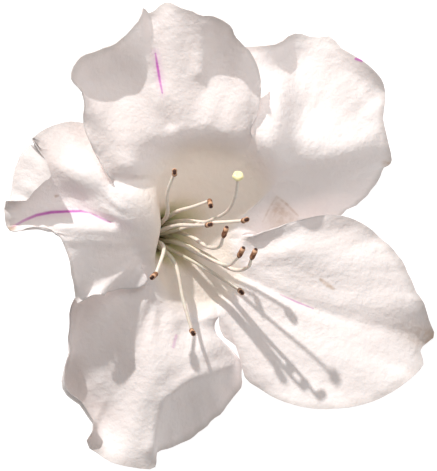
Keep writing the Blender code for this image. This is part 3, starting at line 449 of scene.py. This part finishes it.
def margin_points(petal, across):
    """The petal's margin, with the end of its midrib at the middle."""
    tip, points = PETALS[petal]
    number = 2 * list(PETALS).index(petal)
    margin = [(*point, 0)[:4] for point in (RIM[number], *points, RIM[(number + 2) % len(RIM)])]
    curve = Curve(margin)
    left_half = curve.between(0, tip, np.clip(2 * across, 0, 1))
    right_half = curve.between(tip, len(margin) - 1, np.clip(2 * across - 1, 0, 1))
    return np.where((across < 0.5)[:, None], left_half, right_half)


def rays(petal, across):
    """At each place across a petal: the wall's knots from the tube's foot to the evened margin, how the
    margin turns up, and the ruffles."""
    number = list(PETALS).index(petal)
    ring = ring_direction(SEAM_ANGLE - 360.0 / len(PETALS) * (number + across))
    foot = THROAT - AXIS * TUBE_LENGTH + ring * FOOT_RADIUS
    throat = THROAT + ring * THROAT_RADIUS
    waist = round_ring(WAIST, number, across)
    rim = round_ring(RIM, number, across)
    margin = margin_points(petal, across)
    spread = EVENED * np.minimum(1.0, 4 * across * (1 - across))
    evened = sum(
        weight * margin_points(petal, across + spread * offset)
        for offset, weight in zip(EVENING, EVENING_WEIGHTS)
    )
    knots = np.array((foot, throat, waist, rim, evened[:, :3]))
    return knots, evened[:, 3:], (margin - evened)[:, :3]


def fold_heights(petal, across, points):
    """How far the petal's folds and swellings lift each point."""
    lift = np.zeros(points.shape[:2])
    for path, reach, edge, height in FOLDS[petal]:
        nearest = np.full(lift.shape, np.inf)
        for start, end in zip(np.array(path[:-1]), np.array(path[1:])):
            way = end - start
            share = np.clip((points[..., :2] - start) @ way / (way @ way), 0, 1)
            away = np.linalg.norm(points[..., :2] - start - share[..., None] * way, axis=-1)
            nearest = np.minimum(nearest, away)
        lift += height / (1.0 + np.exp((nearest - reach) / (edge * 0.5)))
    lift += swollen(points, SWELLS[petal])
    beside_seam = np.clip(np.minimum(across, 1.0 - across) / SEAM_SHARE, 0, 1)
    return lift * eased(beside_seam)[:, None]


def swollen(points, swells):
    """How far rounded swellings lift each point."""
    lift = np.zeros(points.shape[:2])
    for x, y, long, wide, turned, height in swells:
        turn = math.radians(turned)
        away = points[..., :2] - (x, y)
        along = away @ (math.cos(turn), math.sin(turn)) / long
        aside = away @ (-math.sin(turn), math.cos(turn)) / wide
        lift += height * np.exp(-(along**2 + aside**2) / 2)
    return lift


def bent(points, start, length, degrees):
    """Rows of points that keep their way up to a distance, and then turn up and back over that length."""
    steps = np.diff(points, axis=1)
    lengths = np.linalg.norm(steps, axis=2)
    ways = steps / lengths[..., None]
    sides = np.cross(ways, (0, 0, 1))
    ups = np.cross(sides / np.linalg.norm(sides, axis=2)[..., None], ways)
    middles = np.cumsum(lengths, axis=1) - lengths / 2
    share = np.clip((middles - start[:, None]) / length, 0, 1)
    angle = np.radians(degrees)[:, None] * share
    ways = ways * np.cos(angle)[..., None] + ups * np.sin(angle)[..., None]
    route = np.cumsum(ways * lengths[..., None], axis=1)
    return np.concatenate((points[:, :1], points[:, :1] + route), axis=1)


def wall(petal, across, outward):
    """Points of the corolla's wall. Each place across has a row of outward values: -1 at the tube's foot,
    0 at the throat, 1 at the waist, 2 at the rim and 3 at the margin."""
    knots, turn, ruffles = rays(petal, across)
    chords = np.diff(knots, axis=0)
    lengths = np.linalg.norm(chords, axis=2, keepdims=True)
    through = np.empty_like(knots)
    through[1:-1] = (chords[:-1] + chords[1:]) / (lengths[:-1] + lengths[1:])
    through[0] = AXIS
    through[1] = AXIS * THROAT_PULL
    last = chords[-1] / np.maximum(lengths[-1], 0.001)
    through[-1] = (1.0 + OUTER_BEND) * last - OUTER_BEND * through[-2] + turn * (0, 0, 1)
    points = np.zeros(outward.shape + (3,))
    for span in range(len(chords)):
        share = np.clip(outward - (span - 1), 0, 1)
        reached = outward >= span - 1
        before = np.minimum(lengths[span], SHOULDER * lengths[max(span - 1, 0)])
        after = np.minimum(lengths[span], SHOULDER * lengths[min(span + 1, len(chords) - 1)])
        ends = (knots[span], knots[span + 1], through[span] * before, through[span + 1] * after)
        line = hermite(*(end[:, None] for end in ends), share)
        points[reached] = line[reached]
    toward_margin = np.clip(outward - 2.0, 0, 1) ** RUFFLE_DEPTH
    points += toward_margin[..., None] * ruffles[:, None]
    fading = np.clip((FUNNEL_SWELL[0] - outward) / FUNNEL_SWELL[1], 0, 1)
    in_funnel = eased(np.clip(outward, 0, 1) * fading)
    points[..., 2] += fold_heights(petal, across, points) + in_funnel * swollen(points, SWELLS["funnel"])
    return points


def blade(petal, across, outward):
    """The petal's own part of the wall, from the rim out, with its margin turned back where it is."""
    points = wall(petal, across, outward)
    if petal not in TURNED_BACK:
        return points
    profile, length, degrees, bend = TURNED_BACK[petal]
    share = np.interp(across, *zip(*profile))
    turned = np.flatnonzero(share)
    rows, share = points[turned], share[turned]
    last_way = rows[:, -1] - rows[:, -2]
    last_way /= np.linalg.norm(last_way, axis=1)[:, None]
    steps = np.linalg.norm(np.diff(rows, axis=1), axis=2)
    reach = np.concatenate((np.zeros((len(rows), 1)), np.cumsum(steps, axis=1)), axis=1)
    stretched = np.empty_like(rows)
    for row, longer in enumerate(1.0 + share * length / reach[:, -1]):
        wanted = reach[row] * longer
        beyond = np.maximum(wanted - reach[row, -1], 0.0)
        for axis in range(3):
            stretched[row, :, axis] = np.interp(wanted, reach[row], rows[row, :, axis])
        stretched[row] += beyond[:, None] * last_way[row]
    angles = degrees * np.minimum(1.0, share / FULL_TURN)
    points[turned] = bent(stretched, reach[:, -1] - bend / 2, bend, angles)
    return points


def placed(point):
    """A point in metres from the origin."""
    return np.subtract(point, UNDER_MIDDLE) * MM


def along_axis(distance):
    """A point on the flower's axis, so far beyond the tube's foot."""
    return THROAT - AXIS * (TUBE_LENGTH - distance)


def take(*items):
    """Selects only these pieces, the first one active."""
    bpy.ops.object.select_all(action="DESELECT")
    for item in items:
        item.select_set(True)
    bpy.context.view_layer.objects.active = items[0]


def read_rows(items, key, width):
    """What each item holds, as rows of that many numbers."""
    flat = np.empty(len(items) * width)
    items.foreach_get(key, flat)
    return flat.reshape(-1, width)


def set_places(mesh, places):
    """Moves the mesh's points."""
    mesh.vertices.foreach_set("co", np.ravel(places))
    mesh.update()


def numbered(shares, count):
    """The row or column, out of that many, at each share from 0 to 1."""
    return np.rint(shares * (count - 1)).astype(int)


def grid_sheet(name, points):
    """A sheet of faces drawn through rows of points, in metres."""
    rows, columns = points.shape[:2]
    bpy.ops.mesh.primitive_grid_add(x_subdivisions=rows - 1, y_subdivisions=columns - 1, size=2.0)
    sheet = bpy.context.object
    sheet.name = name
    shares = (read_rows(sheet.data.vertices, "co", 3) + 1) / 2
    set_places(sheet.data, points[numbered(shares[:, 0], rows), numbered(shares[:, 1], columns)])
    return sheet


def set_uv(sheet, across, outward):
    """Marks how far across and how far out each corner lies."""
    layer = sheet.data.uv_layers[0].data
    shares = read_rows(layer, "uv", 2)
    row, column = numbered(shares[:, 0], len(across)), numbered(shares[:, 1], len(outward))
    layer.foreach_set("uv", np.column_stack((across[row], outward[column])).ravel())


def thicken(sheet, thickness, group=None, thinness=1.0):
    """Gives a sheet its thickness, to both sides of it."""
    take(sheet)
    wall_depth = sheet.modifiers.new("Thickness", "SOLIDIFY")
    wall_depth.thickness = thickness * MM
    wall_depth.offset = 0.0
    if group:
        wall_depth.vertex_group = group
        wall_depth.thickness_vertex_group = thinness
    bpy.ops.object.modifier_apply(modifier=wall_depth.name)


def close_up(piece):
    """Merges the points that meet and turns the faces outward."""
    take(piece)
    bpy.ops.object.mode_set(mode="EDIT")
    bpy.ops.mesh.select_all(action="SELECT")
    bpy.ops.mesh.remove_doubles(threshold=0.01 * MM)
    bpy.ops.mesh.normals_make_consistent(inside=False)
    bpy.ops.object.mode_set(mode="OBJECT")


def smooth(piece, degrees):
    """Shades the piece smooth, apart from edges sharper than this."""
    take(piece)
    bpy.ops.object.shade_smooth_by_angle(angle=math.radians(degrees))


def finish_piece(piece, finish, slot, *nodes):
    """Gives the piece its finish, and says which solids it stands for."""
    piece.data.materials.clear()
    piece.data.materials.append(finish)
    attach(piece, "root")
    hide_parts(*nodes)


# ---- finishes


def add_node(nodes, kind, inputs=None, **settings):
    """The outputs of a new shader node with its settings, and its inputs linked or set."""
    node = nodes.new("ShaderNode" + kind)
    for key, value in settings.items():
        setattr(node, key, value)
    for socket, value in (inputs or {}).items():
        if isinstance(value, bpy.types.NodeSocket):
            nodes.id_data.links.new(value, node.inputs[socket])
        else:
            node.inputs[socket].default_value = value
    return node.outputs


def blank_finish(name, roughness, **constants):
    """A material with one shader on it. Constants are named by the shader's own sockets."""
    material = bpy.data.materials.new(name)
    material.use_nodes = True
    nodes = material.node_tree.nodes
    inputs = nodes["Principled BSDF"].inputs
    inputs["Roughness"].default_value = roughness
    for socket, value in constants.items():
        inputs[socket.replace("_", " ")].default_value = value
    return material, nodes


def dressed(material, colour, bump):
    """The material with its colour and its relief on the shader."""
    tree = material.node_tree
    inputs = tree.nodes["Principled BSDF"].inputs
    tree.links.new(colour, inputs["Base Color"])
    tree.links.new(bump, inputs["Normal"])
    return material


def mixed(nodes, factor, first, second):
    """The second colour over the first, by a factor."""
    sides = (side if isinstance(side, bpy.types.NodeSocket) else (*side, 1.0) for side in (first, second))
    return add_node(nodes, "Mix", {0: factor, **dict(zip((6, 7), sides))}, data_type="RGBA")[2]


def summed(nodes, operation, first, second=0.0):
    """One number from two."""
    return add_node(nodes, "Math", {0: first, 1: second}, operation=operation)[0]


def faded(nodes, value, start, end, low=0.0, high=1.0):
    """A soft step from low at the start to high at the end."""
    inputs = {"Value": value, "From Min": start, "From Max": end, "To Min": low, "To Max": high}
    return add_node(nodes, "MapRange", inputs, interpolation_type="SMOOTHSTEP")[0]


def vector(nodes, operation, *inputs):
    """What a vector node gives."""
    return add_node(nodes, "VectorMath", dict(enumerate(inputs)), operation=operation)


def noise(nodes, place, scale, detail, roughness=0.5):
    """A noise that is so many times finer than a metre."""
    inputs = {"Vector": place, "Scale": scale, "Detail": detail, "Roughness": roughness}
    return add_node(nodes, "TexNoise", inputs)[0]


def relief(nodes, height, depth, strength, under=None):
    """A bump so many millimetres deep, on top of another one."""
    inputs = {"Height": height, "Distance": depth * MM, "Strength": strength}
    if under is not None:
        inputs["Normal"] = under
    return add_node(nodes, "Bump", inputs)[0]


def on_petal(nodes, number, petal):
    """1 on that petal and 0 on the others."""
    inputs = {0: number, 1: petal, 2: SAME_NUMBER}
    return add_node(nodes, "Math", inputs, operation="COMPARE")[0]


def in_plan(nodes, place):
    """The place in plan, in millimetres."""
    scale = (1 / MM, 1 / MM, 0.0)
    return vector(nodes, "MULTIPLY_ADD", place, scale, (*UNDER_MIDDLE[:2], 0.0))[0]


def near_line(nodes, plan, start, end):
    """How much of a drawn line there is between two of its points, with their strengths and widths."""
    first, last = np.array((*start[:2], 0.0)), np.array((*end[:2], 0.0))
    way = last - first
    away = vector(nodes, "SUBTRACT", plan, tuple(first))[0]
    along = vector(nodes, "DOT_PRODUCT", away, tuple(way / (way @ way)))["Value"]
    share = add_node(nodes, "Clamp", {"Value": along})[0]
    step = add_node(nodes, "VectorMath", {0: tuple(way), "Scale": share}, operation="SCALE")[0]
    distance = vector(nodes, "DISTANCE", away, step)["Value"]
    strength = between(nodes, share, start[2], end[2])
    half_width = between(nodes, share, start[3], end[3])
    edge = summed(nodes, "DIVIDE", distance, half_width)
    return faded(nodes, edge, *MARK_EDGE, strength, 0.0)


def between(nodes, share, start, end):
    """A number that goes from start to end with the share."""
    inputs = {0: share, 1: end - start, 2: start}
    return add_node(nodes, "Math", inputs, operation="MULTIPLY_ADD")[0]


def marks(nodes, plan, number, lines):
    """All of the petals' drawn lines together."""
    total = 0.0
    for petal, points in lines:
        line = 0.0
        for start, end in zip(points[:-1], points[1:]):
            line = summed(nodes, "MAXIMUM", line, near_line(nodes, plan, start, end))
        here = summed(nodes, "MULTIPLY", line, on_petal(nodes, number, petal))
        total = summed(nodes, "MAXIMUM", total, here)
    return total


def outside_tube(nodes, place):
    """1 on the narrow tube's outer face and 0 on its inner face, by the distance from its axis."""
    away = vector(nodes, "SUBTRACT", place, tuple(placed(THROAT)))[0]
    along = vector(nodes, "DOT_PRODUCT", away, tuple(AXIS))["Value"]
    radius = vector(nodes, "LENGTH", vector(nodes, "CROSS_PRODUCT", away, tuple(AXIS))[0])["Value"]
    middle = faded(nodes, along, -TUBE_LENGTH * MM, 0.0, FOOT_RADIUS * MM, THROAT_RADIUS * MM)
    beyond = summed(nodes, "SUBTRACT", radius, middle)
    return faded(nodes, beyond, *(MM * face for face in TUBE_FACES))


def petal_finish():
    """White petals with painted shade in places and over the top petal's blade, cream in the throat and olive
    in its depths, darker there as painted shade, pale green outside the tube, with veins, creases, streaks,
    and bruises along with painted shade on a fold."""
    material, nodes = blank_finish(
        "petal tissue", 0.55, Specular_IOR_Level=0.3,
        Subsurface_Weight=0.2, Subsurface_Scale=0.0008, Subsurface_Radius=TISSUE_SCATTER,
    )
    spot = add_node(nodes, "UVMap")[0]
    marked = add_node(nodes, "SeparateXYZ", {0: spot})
    number = summed(nodes, "FLOOR", summed(nodes, "MULTIPLY", marked[0], len(PETALS)))
    reach = between(nodes, marked[1], FOOT_PLACE, MARGIN_PLACE)
    place = add_node(nodes, "TexCoord")["Object"]
    plan = in_plan(nodes, place)
    grain = noise(nodes, place, 900.0, 2.0)
    blush = faded(nodes, noise(nodes, place, 110.0, 3.0), 0.35, 0.75, 0.0, 0.6)
    colour = mixed(nodes, blush, PETAL_WHITE, PETAL_BLUSH)
    # painted shade over the top petal's blade, where it catches little light
    top_petal_shade = summed(nodes, "MULTIPLY", on_petal(nodes, number, SHADED_PETAL), faded(nodes, reach, *TOP_PETAL_SHADE_REACH))
    colour = mixed(nodes, top_petal_shade, colour, TOP_PETAL_SHADE_COLOUR)
    # painted shade along lines where parts of the petals lie in shade
    colour = mixed(nodes, marks(nodes, plan, number, SHADE_LINES), colour, PAINTED_SHADE_GREY)
    for tint, start, end, most in PETAL_TINTS:
        colour = mixed(nodes, faded(nodes, reach, start, end, 0.0, most), colour, tint)
    behind = summed(nodes, "MULTIPLY", outside_tube(nodes, place), faded(nodes, reach, 0.5, 0.0))
    colour = mixed(nodes, behind, colour, TUBE_PALE)
    colour = mixed(nodes, marks(nodes, plan, number, STREAKS), colour, STREAK_PURPLE)
    broken = faded(nodes, grain, *FLECKS, 0.4, 1.0)
    # bruises, and painted shade on the fold of the upper right petal's lower corner
    bruised_and_shaded = summed(nodes, "MULTIPLY", marks(nodes, plan, number, BRUISES_AND_FOLD_SHADE), broken)
    colour = mixed(nodes, bruised_and_shaded, colour, BRUISE_AND_SHADE_BROWN)
    stretched = add_node(nodes, "Mapping", {0: spot, "Scale": VEIN_STRETCH})[0]
    veins = noise(nodes, stretched, 1.0, 4.0)
    ribbed = relief(nodes, veins, VEIN_DEPTH, faded(nodes, reach, *VEIN_GROWTH))
    creased = relief(nodes, noise(nodes, place, 330.0, 5.0, 0.62), CREASE_DEPTH, 0.9, ribbed)
    return dressed(material, colour, relief(nodes, grain, GRAIN_DEPTH, 0.8, creased))


def grown_finish(name, low, high, heights, roughness, grain=1200.0, depth=0.03):
    """A finish that turns from one colour to another between two heights, with a fine grain."""
    material, nodes = blank_finish(name, roughness, Subsurface_Weight=0.15, Subsurface_Scale=0.0006)
    place = add_node(nodes, "TexCoord")["Object"]
    height = add_node(nodes, "SeparateXYZ", {0: place})[2]
    flecks = noise(nodes, place, grain, 3.0)
    colour = mixed(nodes, faded(nodes, height, *(MM * level for level in heights)), low, high)
    darker = tuple(0.6 * part for part in high)
    shaded = mixed(nodes, faded(nodes, flecks, *FLECKS, 0.0, 0.25), colour, darker)
    return dressed(material, shaded, relief(nodes, flecks, depth, 0.6))


def anther_finish():
    """Brown sacs in fine patches, with a tan rim round the dark pores in the end."""
    material, nodes = blank_finish("anther skin", 0.75)
    patches = noise(nodes, add_node(nodes, "TexCoord")["Object"], 1800.0, 4.0)
    colour = mixed(nodes, faded(nodes, patches, 0.4, 0.62), ANTHER_BROWN, ANTHER_TAN)
    end = add_node(nodes, "SeparateXYZ", {0: add_node(nodes, "UVMap")[0]})[1]
    rimmed = summed(nodes, "MULTIPLY", faded(nodes, end, 0.6, 0.7), faded(nodes, end, 0.86, 0.78))
    colour = mixed(nodes, rimmed, colour, ANTHER_RIM)
    colour = mixed(nodes, faded(nodes, end, 0.76, 0.84), colour, ANTHER_PORE)
    return dressed(material, colour, relief(nodes, patches, 0.1, 0.8))


def stalk_finish():
    """Green with a reddish bloom, and pale where it is cut."""
    material, nodes = blank_finish("stalk skin", 0.6)
    place = add_node(nodes, "TexCoord")["Object"]
    patches = noise(nodes, place, 700.0, 4.0)
    colour = mixed(nodes, faded(nodes, patches, 0.45, 0.7, 0.0, 0.7), STALK_GREEN, STALK_RED)
    sideways = add_node(nodes, "SeparateXYZ", {0: place})[0]
    cut, soft = placed((PEDICEL_CUT, 0.0, 0.0))[0], 0.05 * MM
    colour = mixed(nodes, faded(nodes, sideways, cut + soft, cut - soft), colour, CUT_PALE)
    return dressed(material, colour, relief(nodes, patches, 0.06, 0.7))


# ---- the bloom


def ripples(seed, across, outward, count, amplitude):
    """Soft uneven relief, longer outward than across."""
    chance = np.random.default_rng(seed)
    height = np.zeros(outward.shape)
    for _ in range(count):
        wide, long = chance.uniform(*RIPPLE_WAVES), chance.uniform(-RIPPLE_SLANT, RIPPLE_SLANT)
        phase = chance.uniform(0, 2 * math.pi)
        height += np.sin(2 * math.pi * (wide * across[:, None] + long * outward) + phase) / wide
    return height * amplitude


def relieved(points, across, outward, seed):
    """The wall with its fine relief, which stands square to it."""
    square = np.cross(*np.gradient(points, axis=(0, 1)))
    square /= np.maximum(np.linalg.norm(square, axis=2, keepdims=True), 1e-9)
    fade = np.clip((outward - RELIEF_START) / RELIEF_FADE, 0, 1)
    fade = fade * np.clip(np.minimum(across, 1 - across) / RELIEF_SEAM_SHARE, 0, 1)[:, None]
    height = ripples(seed, across, outward, *RIPPLES) * fade
    toward_margin = np.clip(outward - 2.0, 0, 1) ** MARGIN_RIPPLE_DEPTH
    closer = ripples(seed + MARGIN_SEED, MARGIN_CROWDING * across, outward, *MARGIN_RIPPLES)
    height += closer * fade * toward_margin
    return points + square * height[..., None]


def petal_sheet(number, petal):
    """One petal with its share of the funnel and the tube, as a sheet with no thickness yet."""
    across = np.linspace(0, 1, PETAL_ACROSS + 1)
    tube = np.linspace(FOOT_PLACE, 0.0, TUBE_RINGS + 1)[:-1]
    funnel = np.linspace(0.0, 2.0, FUNNEL_RINGS + 1)[:-1]
    rings = np.concatenate((tube, funnel, np.linspace(2.0, MARGIN_PLACE, BLADE_RINGS + 1)))
    outward = np.tile(rings, (len(across), 1))
    inner = len(tube) + len(funnel)
    halves = (wall(petal, across, outward[:, :inner]), blade(petal, across, outward[:, inner:]))
    points = relieved(np.concatenate(halves, axis=1), across, outward, number)
    sheet = grid_sheet(petal, placed(points))
    inset = 0.001  # keeps a petal's edge from being read as its neighbour's
    places = (number + inset + across * (1 - 2 * inset)) / len(PETALS)
    set_uv(sheet, places, (rings - FOOT_PLACE) / (MARGIN_PLACE - FOOT_PLACE))
    return sheet


def add_corolla(finish):
    """The whole corolla, grown together as one wall that thins out toward the margins."""
    sheets = [petal_sheet(number, petal) for number, petal in enumerate(PETALS)]
    take(*sheets)
    bpy.ops.object.join()
    corolla = bpy.context.object
    corolla.name = "corolla"
    close_up(corolla)
    thinning = corolla.vertex_groups.new(name="thickness")
    reach = np.zeros(len(corolla.data.vertices))
    uv = corolla.data.uv_layers[0].data
    for loop in corolla.data.loops:
        reach[loop.vertex_index] = uv[loop.index].uv[1] * (MARGIN_PLACE - FOOT_PLACE) + FOOT_PLACE
    for index, outward in enumerate(reach):
        thinning.add([index], max(0.0, min(1.0, 1.0 - outward / MARGIN_PLACE)), "REPLACE")
    thicken(corolla, THROAT_THICKNESS, "thickness", MARGIN_THINNESS)
    smooth(corolla, PETAL_EDGE_ANGLE)
    finish_piece(corolla, finish, "petal", "corolla_tube", *PETALS)


def tube_piece(name, path, radii, sides):
    """A round stem along a path, as a closed mesh."""
    bpy.ops.curve.primitive_nurbs_path_add()
    stem = bpy.context.object
    stem.name = name
    shape = stem.data
    shape.splines.clear()
    shape.bevel_depth = max(radii) * MM
    shape.bevel_resolution = sides // 4
    shape.use_fill_caps = True
    spline = shape.splines.new("POLY")
    spline.points.add(len(path) - 1)
    for point, place, radius in zip(spline.points, placed(path), radii):
        point.co = (*place, 1.0)
        point.radius = radius / max(radii)
    bpy.ops.object.convert(target="MESH")
    close_up(stem)
    smooth(stem, STEM_EDGE_ANGLE)
    return stem


def filament_path(anther, way, bends, slot):
    """Up through the tube on the ring, and out through the bends into the anther."""
    ring = ring_direction(slot)
    inside = [along_axis(distance) + ring * STAMEN_RING for distance in (GAP, TUBE_LENGTH * PARTING)]
    mouth = along_axis(TUBE_LENGTH) + ring * MOUTH_RING
    seat = anther - unit(way) * (ANTHER_LENGTH / 2 - ANTHER_SEAT)
    return Curve([*inside, mouth, *bends, seat]).spread(FILAMENT_STEPS)


def round_piece(name, middle, direction, shape, segments=28, rings=18):
    """A closed body, set by a function of the angle round it and the place along it, -1 to 1."""
    bpy.ops.mesh.primitive_uv_sphere_add(segments=segments, ring_count=rings, radius=1.0)
    body = bpy.context.object
    body.name = name
    places = read_rows(body.data.vertices, "co", 3)
    angle = np.arctan2(places[:, 1], places[:, 0])
    away, along = shape(angle, places[:, 2])
    local = np.column_stack((away * np.cos(angle), away * np.sin(angle), along))
    turn = np.array(Vector(direction).to_track_quat("Z", "X").to_matrix())
    set_places(body.data, placed(local @ turn.T + middle))
    bpy.ops.object.shade_smooth()
    return body


def rounded(along, power=2.0):
    """How wide a body is along its length, which is 2. With more power its ends are blunter."""
    return np.sqrt(np.maximum(0.0, 1.0 - np.abs(along) ** power))


def lobed(angle, count, depth):
    """How lobes widen and narrow a body round its axis."""
    return 1.0 + depth * np.cos(count * angle)


def hollow(distance, depth, width):
    """A soft hollow of that depth and width."""
    return depth * np.exp(-((distance / width) ** 2))


def anther_shape(angle, along):
    """Two sacs side by side with a groove between them that cuts into their ends."""
    groove = hollow(np.abs(angle) - math.pi / 2, *ANTHER_GROOVE)
    away = ANTHER_WIDTH / 2 * rounded(along, 2.6) * (lobed(angle, *ANTHER_LOBES) - groove)
    notch = ANTHER_NOTCH / ANTHER_GROOVE[0] * groove * np.abs(along) ** 4
    return away * (1.0 - hollow(along, *ANTHER_WAIST)), ANTHER_LENGTH / 2 * along * (1.0 - notch)


def add_stamens(filament_look, anther_look):
    """Ten filaments, each with its anther."""
    for number, (anther, way, bends, slot) in enumerate(STAMENS, 1):
        path = filament_path(anther, way, bends, slot)
        radii = np.interp(np.linspace(0, 1, len(path)), *FILAMENT_RADII)
        thread = tube_piece(f"filament_{number:02d}_thread", path, radii, 12)
        finish_piece(thread, filament_look, "filament", f"filament_{number:02d}")
        sacs = round_piece(f"anther_{number:02d}_sacs", anther, unit(way), anther_shape)
        finish_piece(sacs, anther_look, "anther", f"anther_{number:02d}")


def stigma_shape(angle, along):
    """A flat five-lobed knob with a dimple in its top."""
    count, depth = STIGMA_LOBES
    away = rounded(along) * lobed(angle, count, depth * rounded(along))
    height = np.where(along > 0, *STIGMA_HEIGHTS) * along
    return STIGMA_RADIUS * away, STIGMA_RADIUS * (height - hollow(away, *STIGMA_DIMPLE) * (along > 0))


def ovary_shape(angle, along):
    """A ribbed egg."""
    away = OVARY_RADIUS * rounded(along, 2.4) * lobed(angle, *OVARY_LOBES)
    return away * (1.0 - OVARY_TAPER * along), OVARY_LENGTH / 2 * along


def receptacle_shape(angle, along):
    """A low cup that narrows toward the stalk."""
    away = RECEPTACLE_RADIUS * rounded(along, 3.0) * lobed(angle, *RECEPTACLE_LOBES)
    narrowed = 1.0 - RECEPTACLE_TAPER * (1.0 - along)
    return away * narrowed, RECEPTACLE_LENGTH / 2 * (along + 1.0)


def add_pistil(filament_look, stigma_look, ovary_look):
    """The ovary in the tube's foot, the style and the stigma."""
    straight = [along_axis(distance) for distance in (OVARY_LENGTH, TUBE_LENGTH * STYLE_PARTING, TUBE_LENGTH)]
    seat = STIGMA - unit(np.subtract(STIGMA, STYLE_BENDS[-1])) * (STIGMA_RADIUS * STIGMA_SEAT)
    path = Curve([*straight, *STYLE_BENDS, seat]).spread(STYLE_STEPS)
    radii = STYLE_RADIUS * np.linspace(1.0, STYLE_TAPER, len(path))
    style = tube_piece("style_stem", path, radii, 16)
    finish_piece(style, filament_look, "style", "style")
    stigma = round_piece("stigma_knob", STIGMA, unit(path[-1] - path[-3]), stigma_shape, 40, 20)
    finish_piece(stigma, stigma_look, "stigma", "stigma")
    middle = along_axis(GAP + OVARY_LENGTH / 2)
    ovary = round_piece("ovary_egg", middle, AXIS, ovary_shape, 30, 18)
    finish_piece(ovary, ovary_look, "ovary", "ovary")


def calyx_sheet():
    """Five short pointed sepals round the tube's foot, drawn in over the receptacle."""
    places = np.linspace(0.0, SEPALS, SEPALS * SEPAL_ACROSS + 1)
    shares = np.linspace(0, 1, SEPAL_RINGS + 1)[:, None]
    rows = []
    for place in places:
        ring = ring_direction(SEAM_ANGLE + 360.0 * place / SEPALS)
        pointed = abs(place % 1.0 - 0.5) * 2
        reach = SEPAL_REACH * (SEPAL_NOTCH + (1.0 - SEPAL_NOTCH) * pointed**SEPAL_POINT)
        foot_radius = FOOT_RADIUS + WALL_AT_FOOT / 2 + GAP + SEPAL_THICKNESS / 2
        radius = foot_radius + (SEPAL_FLARE + SEPAL_TIP_FLARE * pointed) * shares**1.5
        low = (1.0 - shares) ** 3
        up = reach * shares - SEPAL_SINK * low
        rows.append(along_axis(0.0) + AXIS * up + ring * (radius - SEPAL_DRAW * low))
    return grid_sheet("calyx_cup", placed(np.array(rows)))


def add_stalk(calyx_look, stalk_look):
    """The calyx, the receptacle and the cut stalk, which starts inside the receptacle."""
    calyx = calyx_sheet()
    close_up(calyx)
    thicken(calyx, SEPAL_THICKNESS * SEPAL_THINNESS)
    smooth(calyx, STEM_EDGE_ANGLE)
    finish_piece(calyx, calyx_look, "calyx", "calyx")
    middle = along_axis(-RECEPTACLE_LENGTH - GAP)
    receptacle = round_piece("receptacle_cup", middle, AXIS, receptacle_shape, 40, 20)
    finish_piece(receptacle, stalk_look, "stalk", "receptacle")
    straight = [along_axis(-RECEPTACLE_LENGTH), along_axis(-RECEPTACLE_LENGTH - PEDICEL_NECK)]
    path = Curve([*straight, *PEDICEL_PATH]).spread(PEDICEL_STEPS)
    swelling = 1.0 - PEDICEL_WAIST * np.sin(np.linspace(0.0, math.pi, len(path)))
    pedicel = tube_piece("pedicel_stem", path, PEDICEL_RADIUS * swelling, 20)
    finish_piece(pedicel, stalk_look, "stalk", "pedicel")


# ---- floor, light and camera


def add_floor():
    """A plain pale floor."""
    bpy.ops.mesh.primitive_plane_add(size=FLOOR_SIZE)
    floor = bpy.context.object
    floor.name = "floor"
    material, _ = blank_finish(
        "pale floor", 0.8, Base_Color=(*FLOOR_PALE, 1.0), Specular_IOR_Level=0.1,
        Emission_Color=(1.0,) * 4, Emission_Strength=FLOOR_GLOW,
    )
    floor.data.materials.append(material)


def area_lamp(place, size, power):
    """A lamp that shines straight down."""
    bpy.ops.object.light_add(type="AREA", location=place)
    lamp = bpy.context.object
    lamp.data.size = size
    lamp.data.energy = power
    return lamp


def add_lights():
    """A key light from the top left, a small soft lamp over the top petal, and pale light all round."""
    world = bpy.data.worlds.new("studio")
    bpy.context.scene.world = world
    world.use_nodes = True
    backdrop = world.node_tree.nodes["Background"].inputs
    backdrop["Color"].default_value = (*FILL_COLOUR, 1.0)
    backdrop["Strength"].default_value = FILL
    area_lamp(NEAR_PLACE, NEAR_SIZE, NEAR_POWER)
    toward = unit(KEY_WAY)
    key = area_lamp(tuple(toward * KEY_DISTANCE), KEY_SIZE, KEY_POWER)
    key.data.shape = "DISK"
    key.data.color = KEY_COLOUR
    key.rotation_euler = Vector(toward).to_track_quat("Z", "Y").to_euler()


def add_camera():
    """Straight above the bloom."""
    eye = placed((0, 0, MIDDLE_HEIGHT)) + (0, 0, EYE_HEIGHT)
    bpy.ops.object.camera_add(location=tuple(eye), rotation=(0, 0, 0))
    camera = bpy.context.object
    camera.data.sensor_width = SENSOR_WIDTH
    camera.data.lens = SENSOR_WIDTH * EYE_HEIGHT / (FRAME_HEIGHT * MM)
    camera.data.clip_start = 0.01
    bpy.context.scene.camera = camera


add_corolla(petal_finish())
filament_look = grown_finish("filament skin", FILAMENT_GREEN, FILAMENT_CREAM, (10.0, 17.0), 0.45)
add_stamens(filament_look, anther_finish())
stigma_look = grown_finish("stigma skin", STIGMA_YELLOW, STIGMA_YELLOW, (30.0, 36.0), 0.3, 1500.0, 0.05)
ovary_look = grown_finish("ovary skin", STALK_GREEN, FILAMENT_GREEN, (2.0, 7.0), 0.7, 2500.0, 0.08)
add_pistil(filament_look, stigma_look, ovary_look)
calyx_look = grown_finish("calyx skin", STALK_GREEN, FILAMENT_GREEN, (1.0, 8.0), 0.65, 2000.0, 0.06)
add_stalk(calyx_look, stalk_finish())
add_floor()
add_lights()
add_camera()
bpy.context.scene.view_settings.view_transform = "Standard"
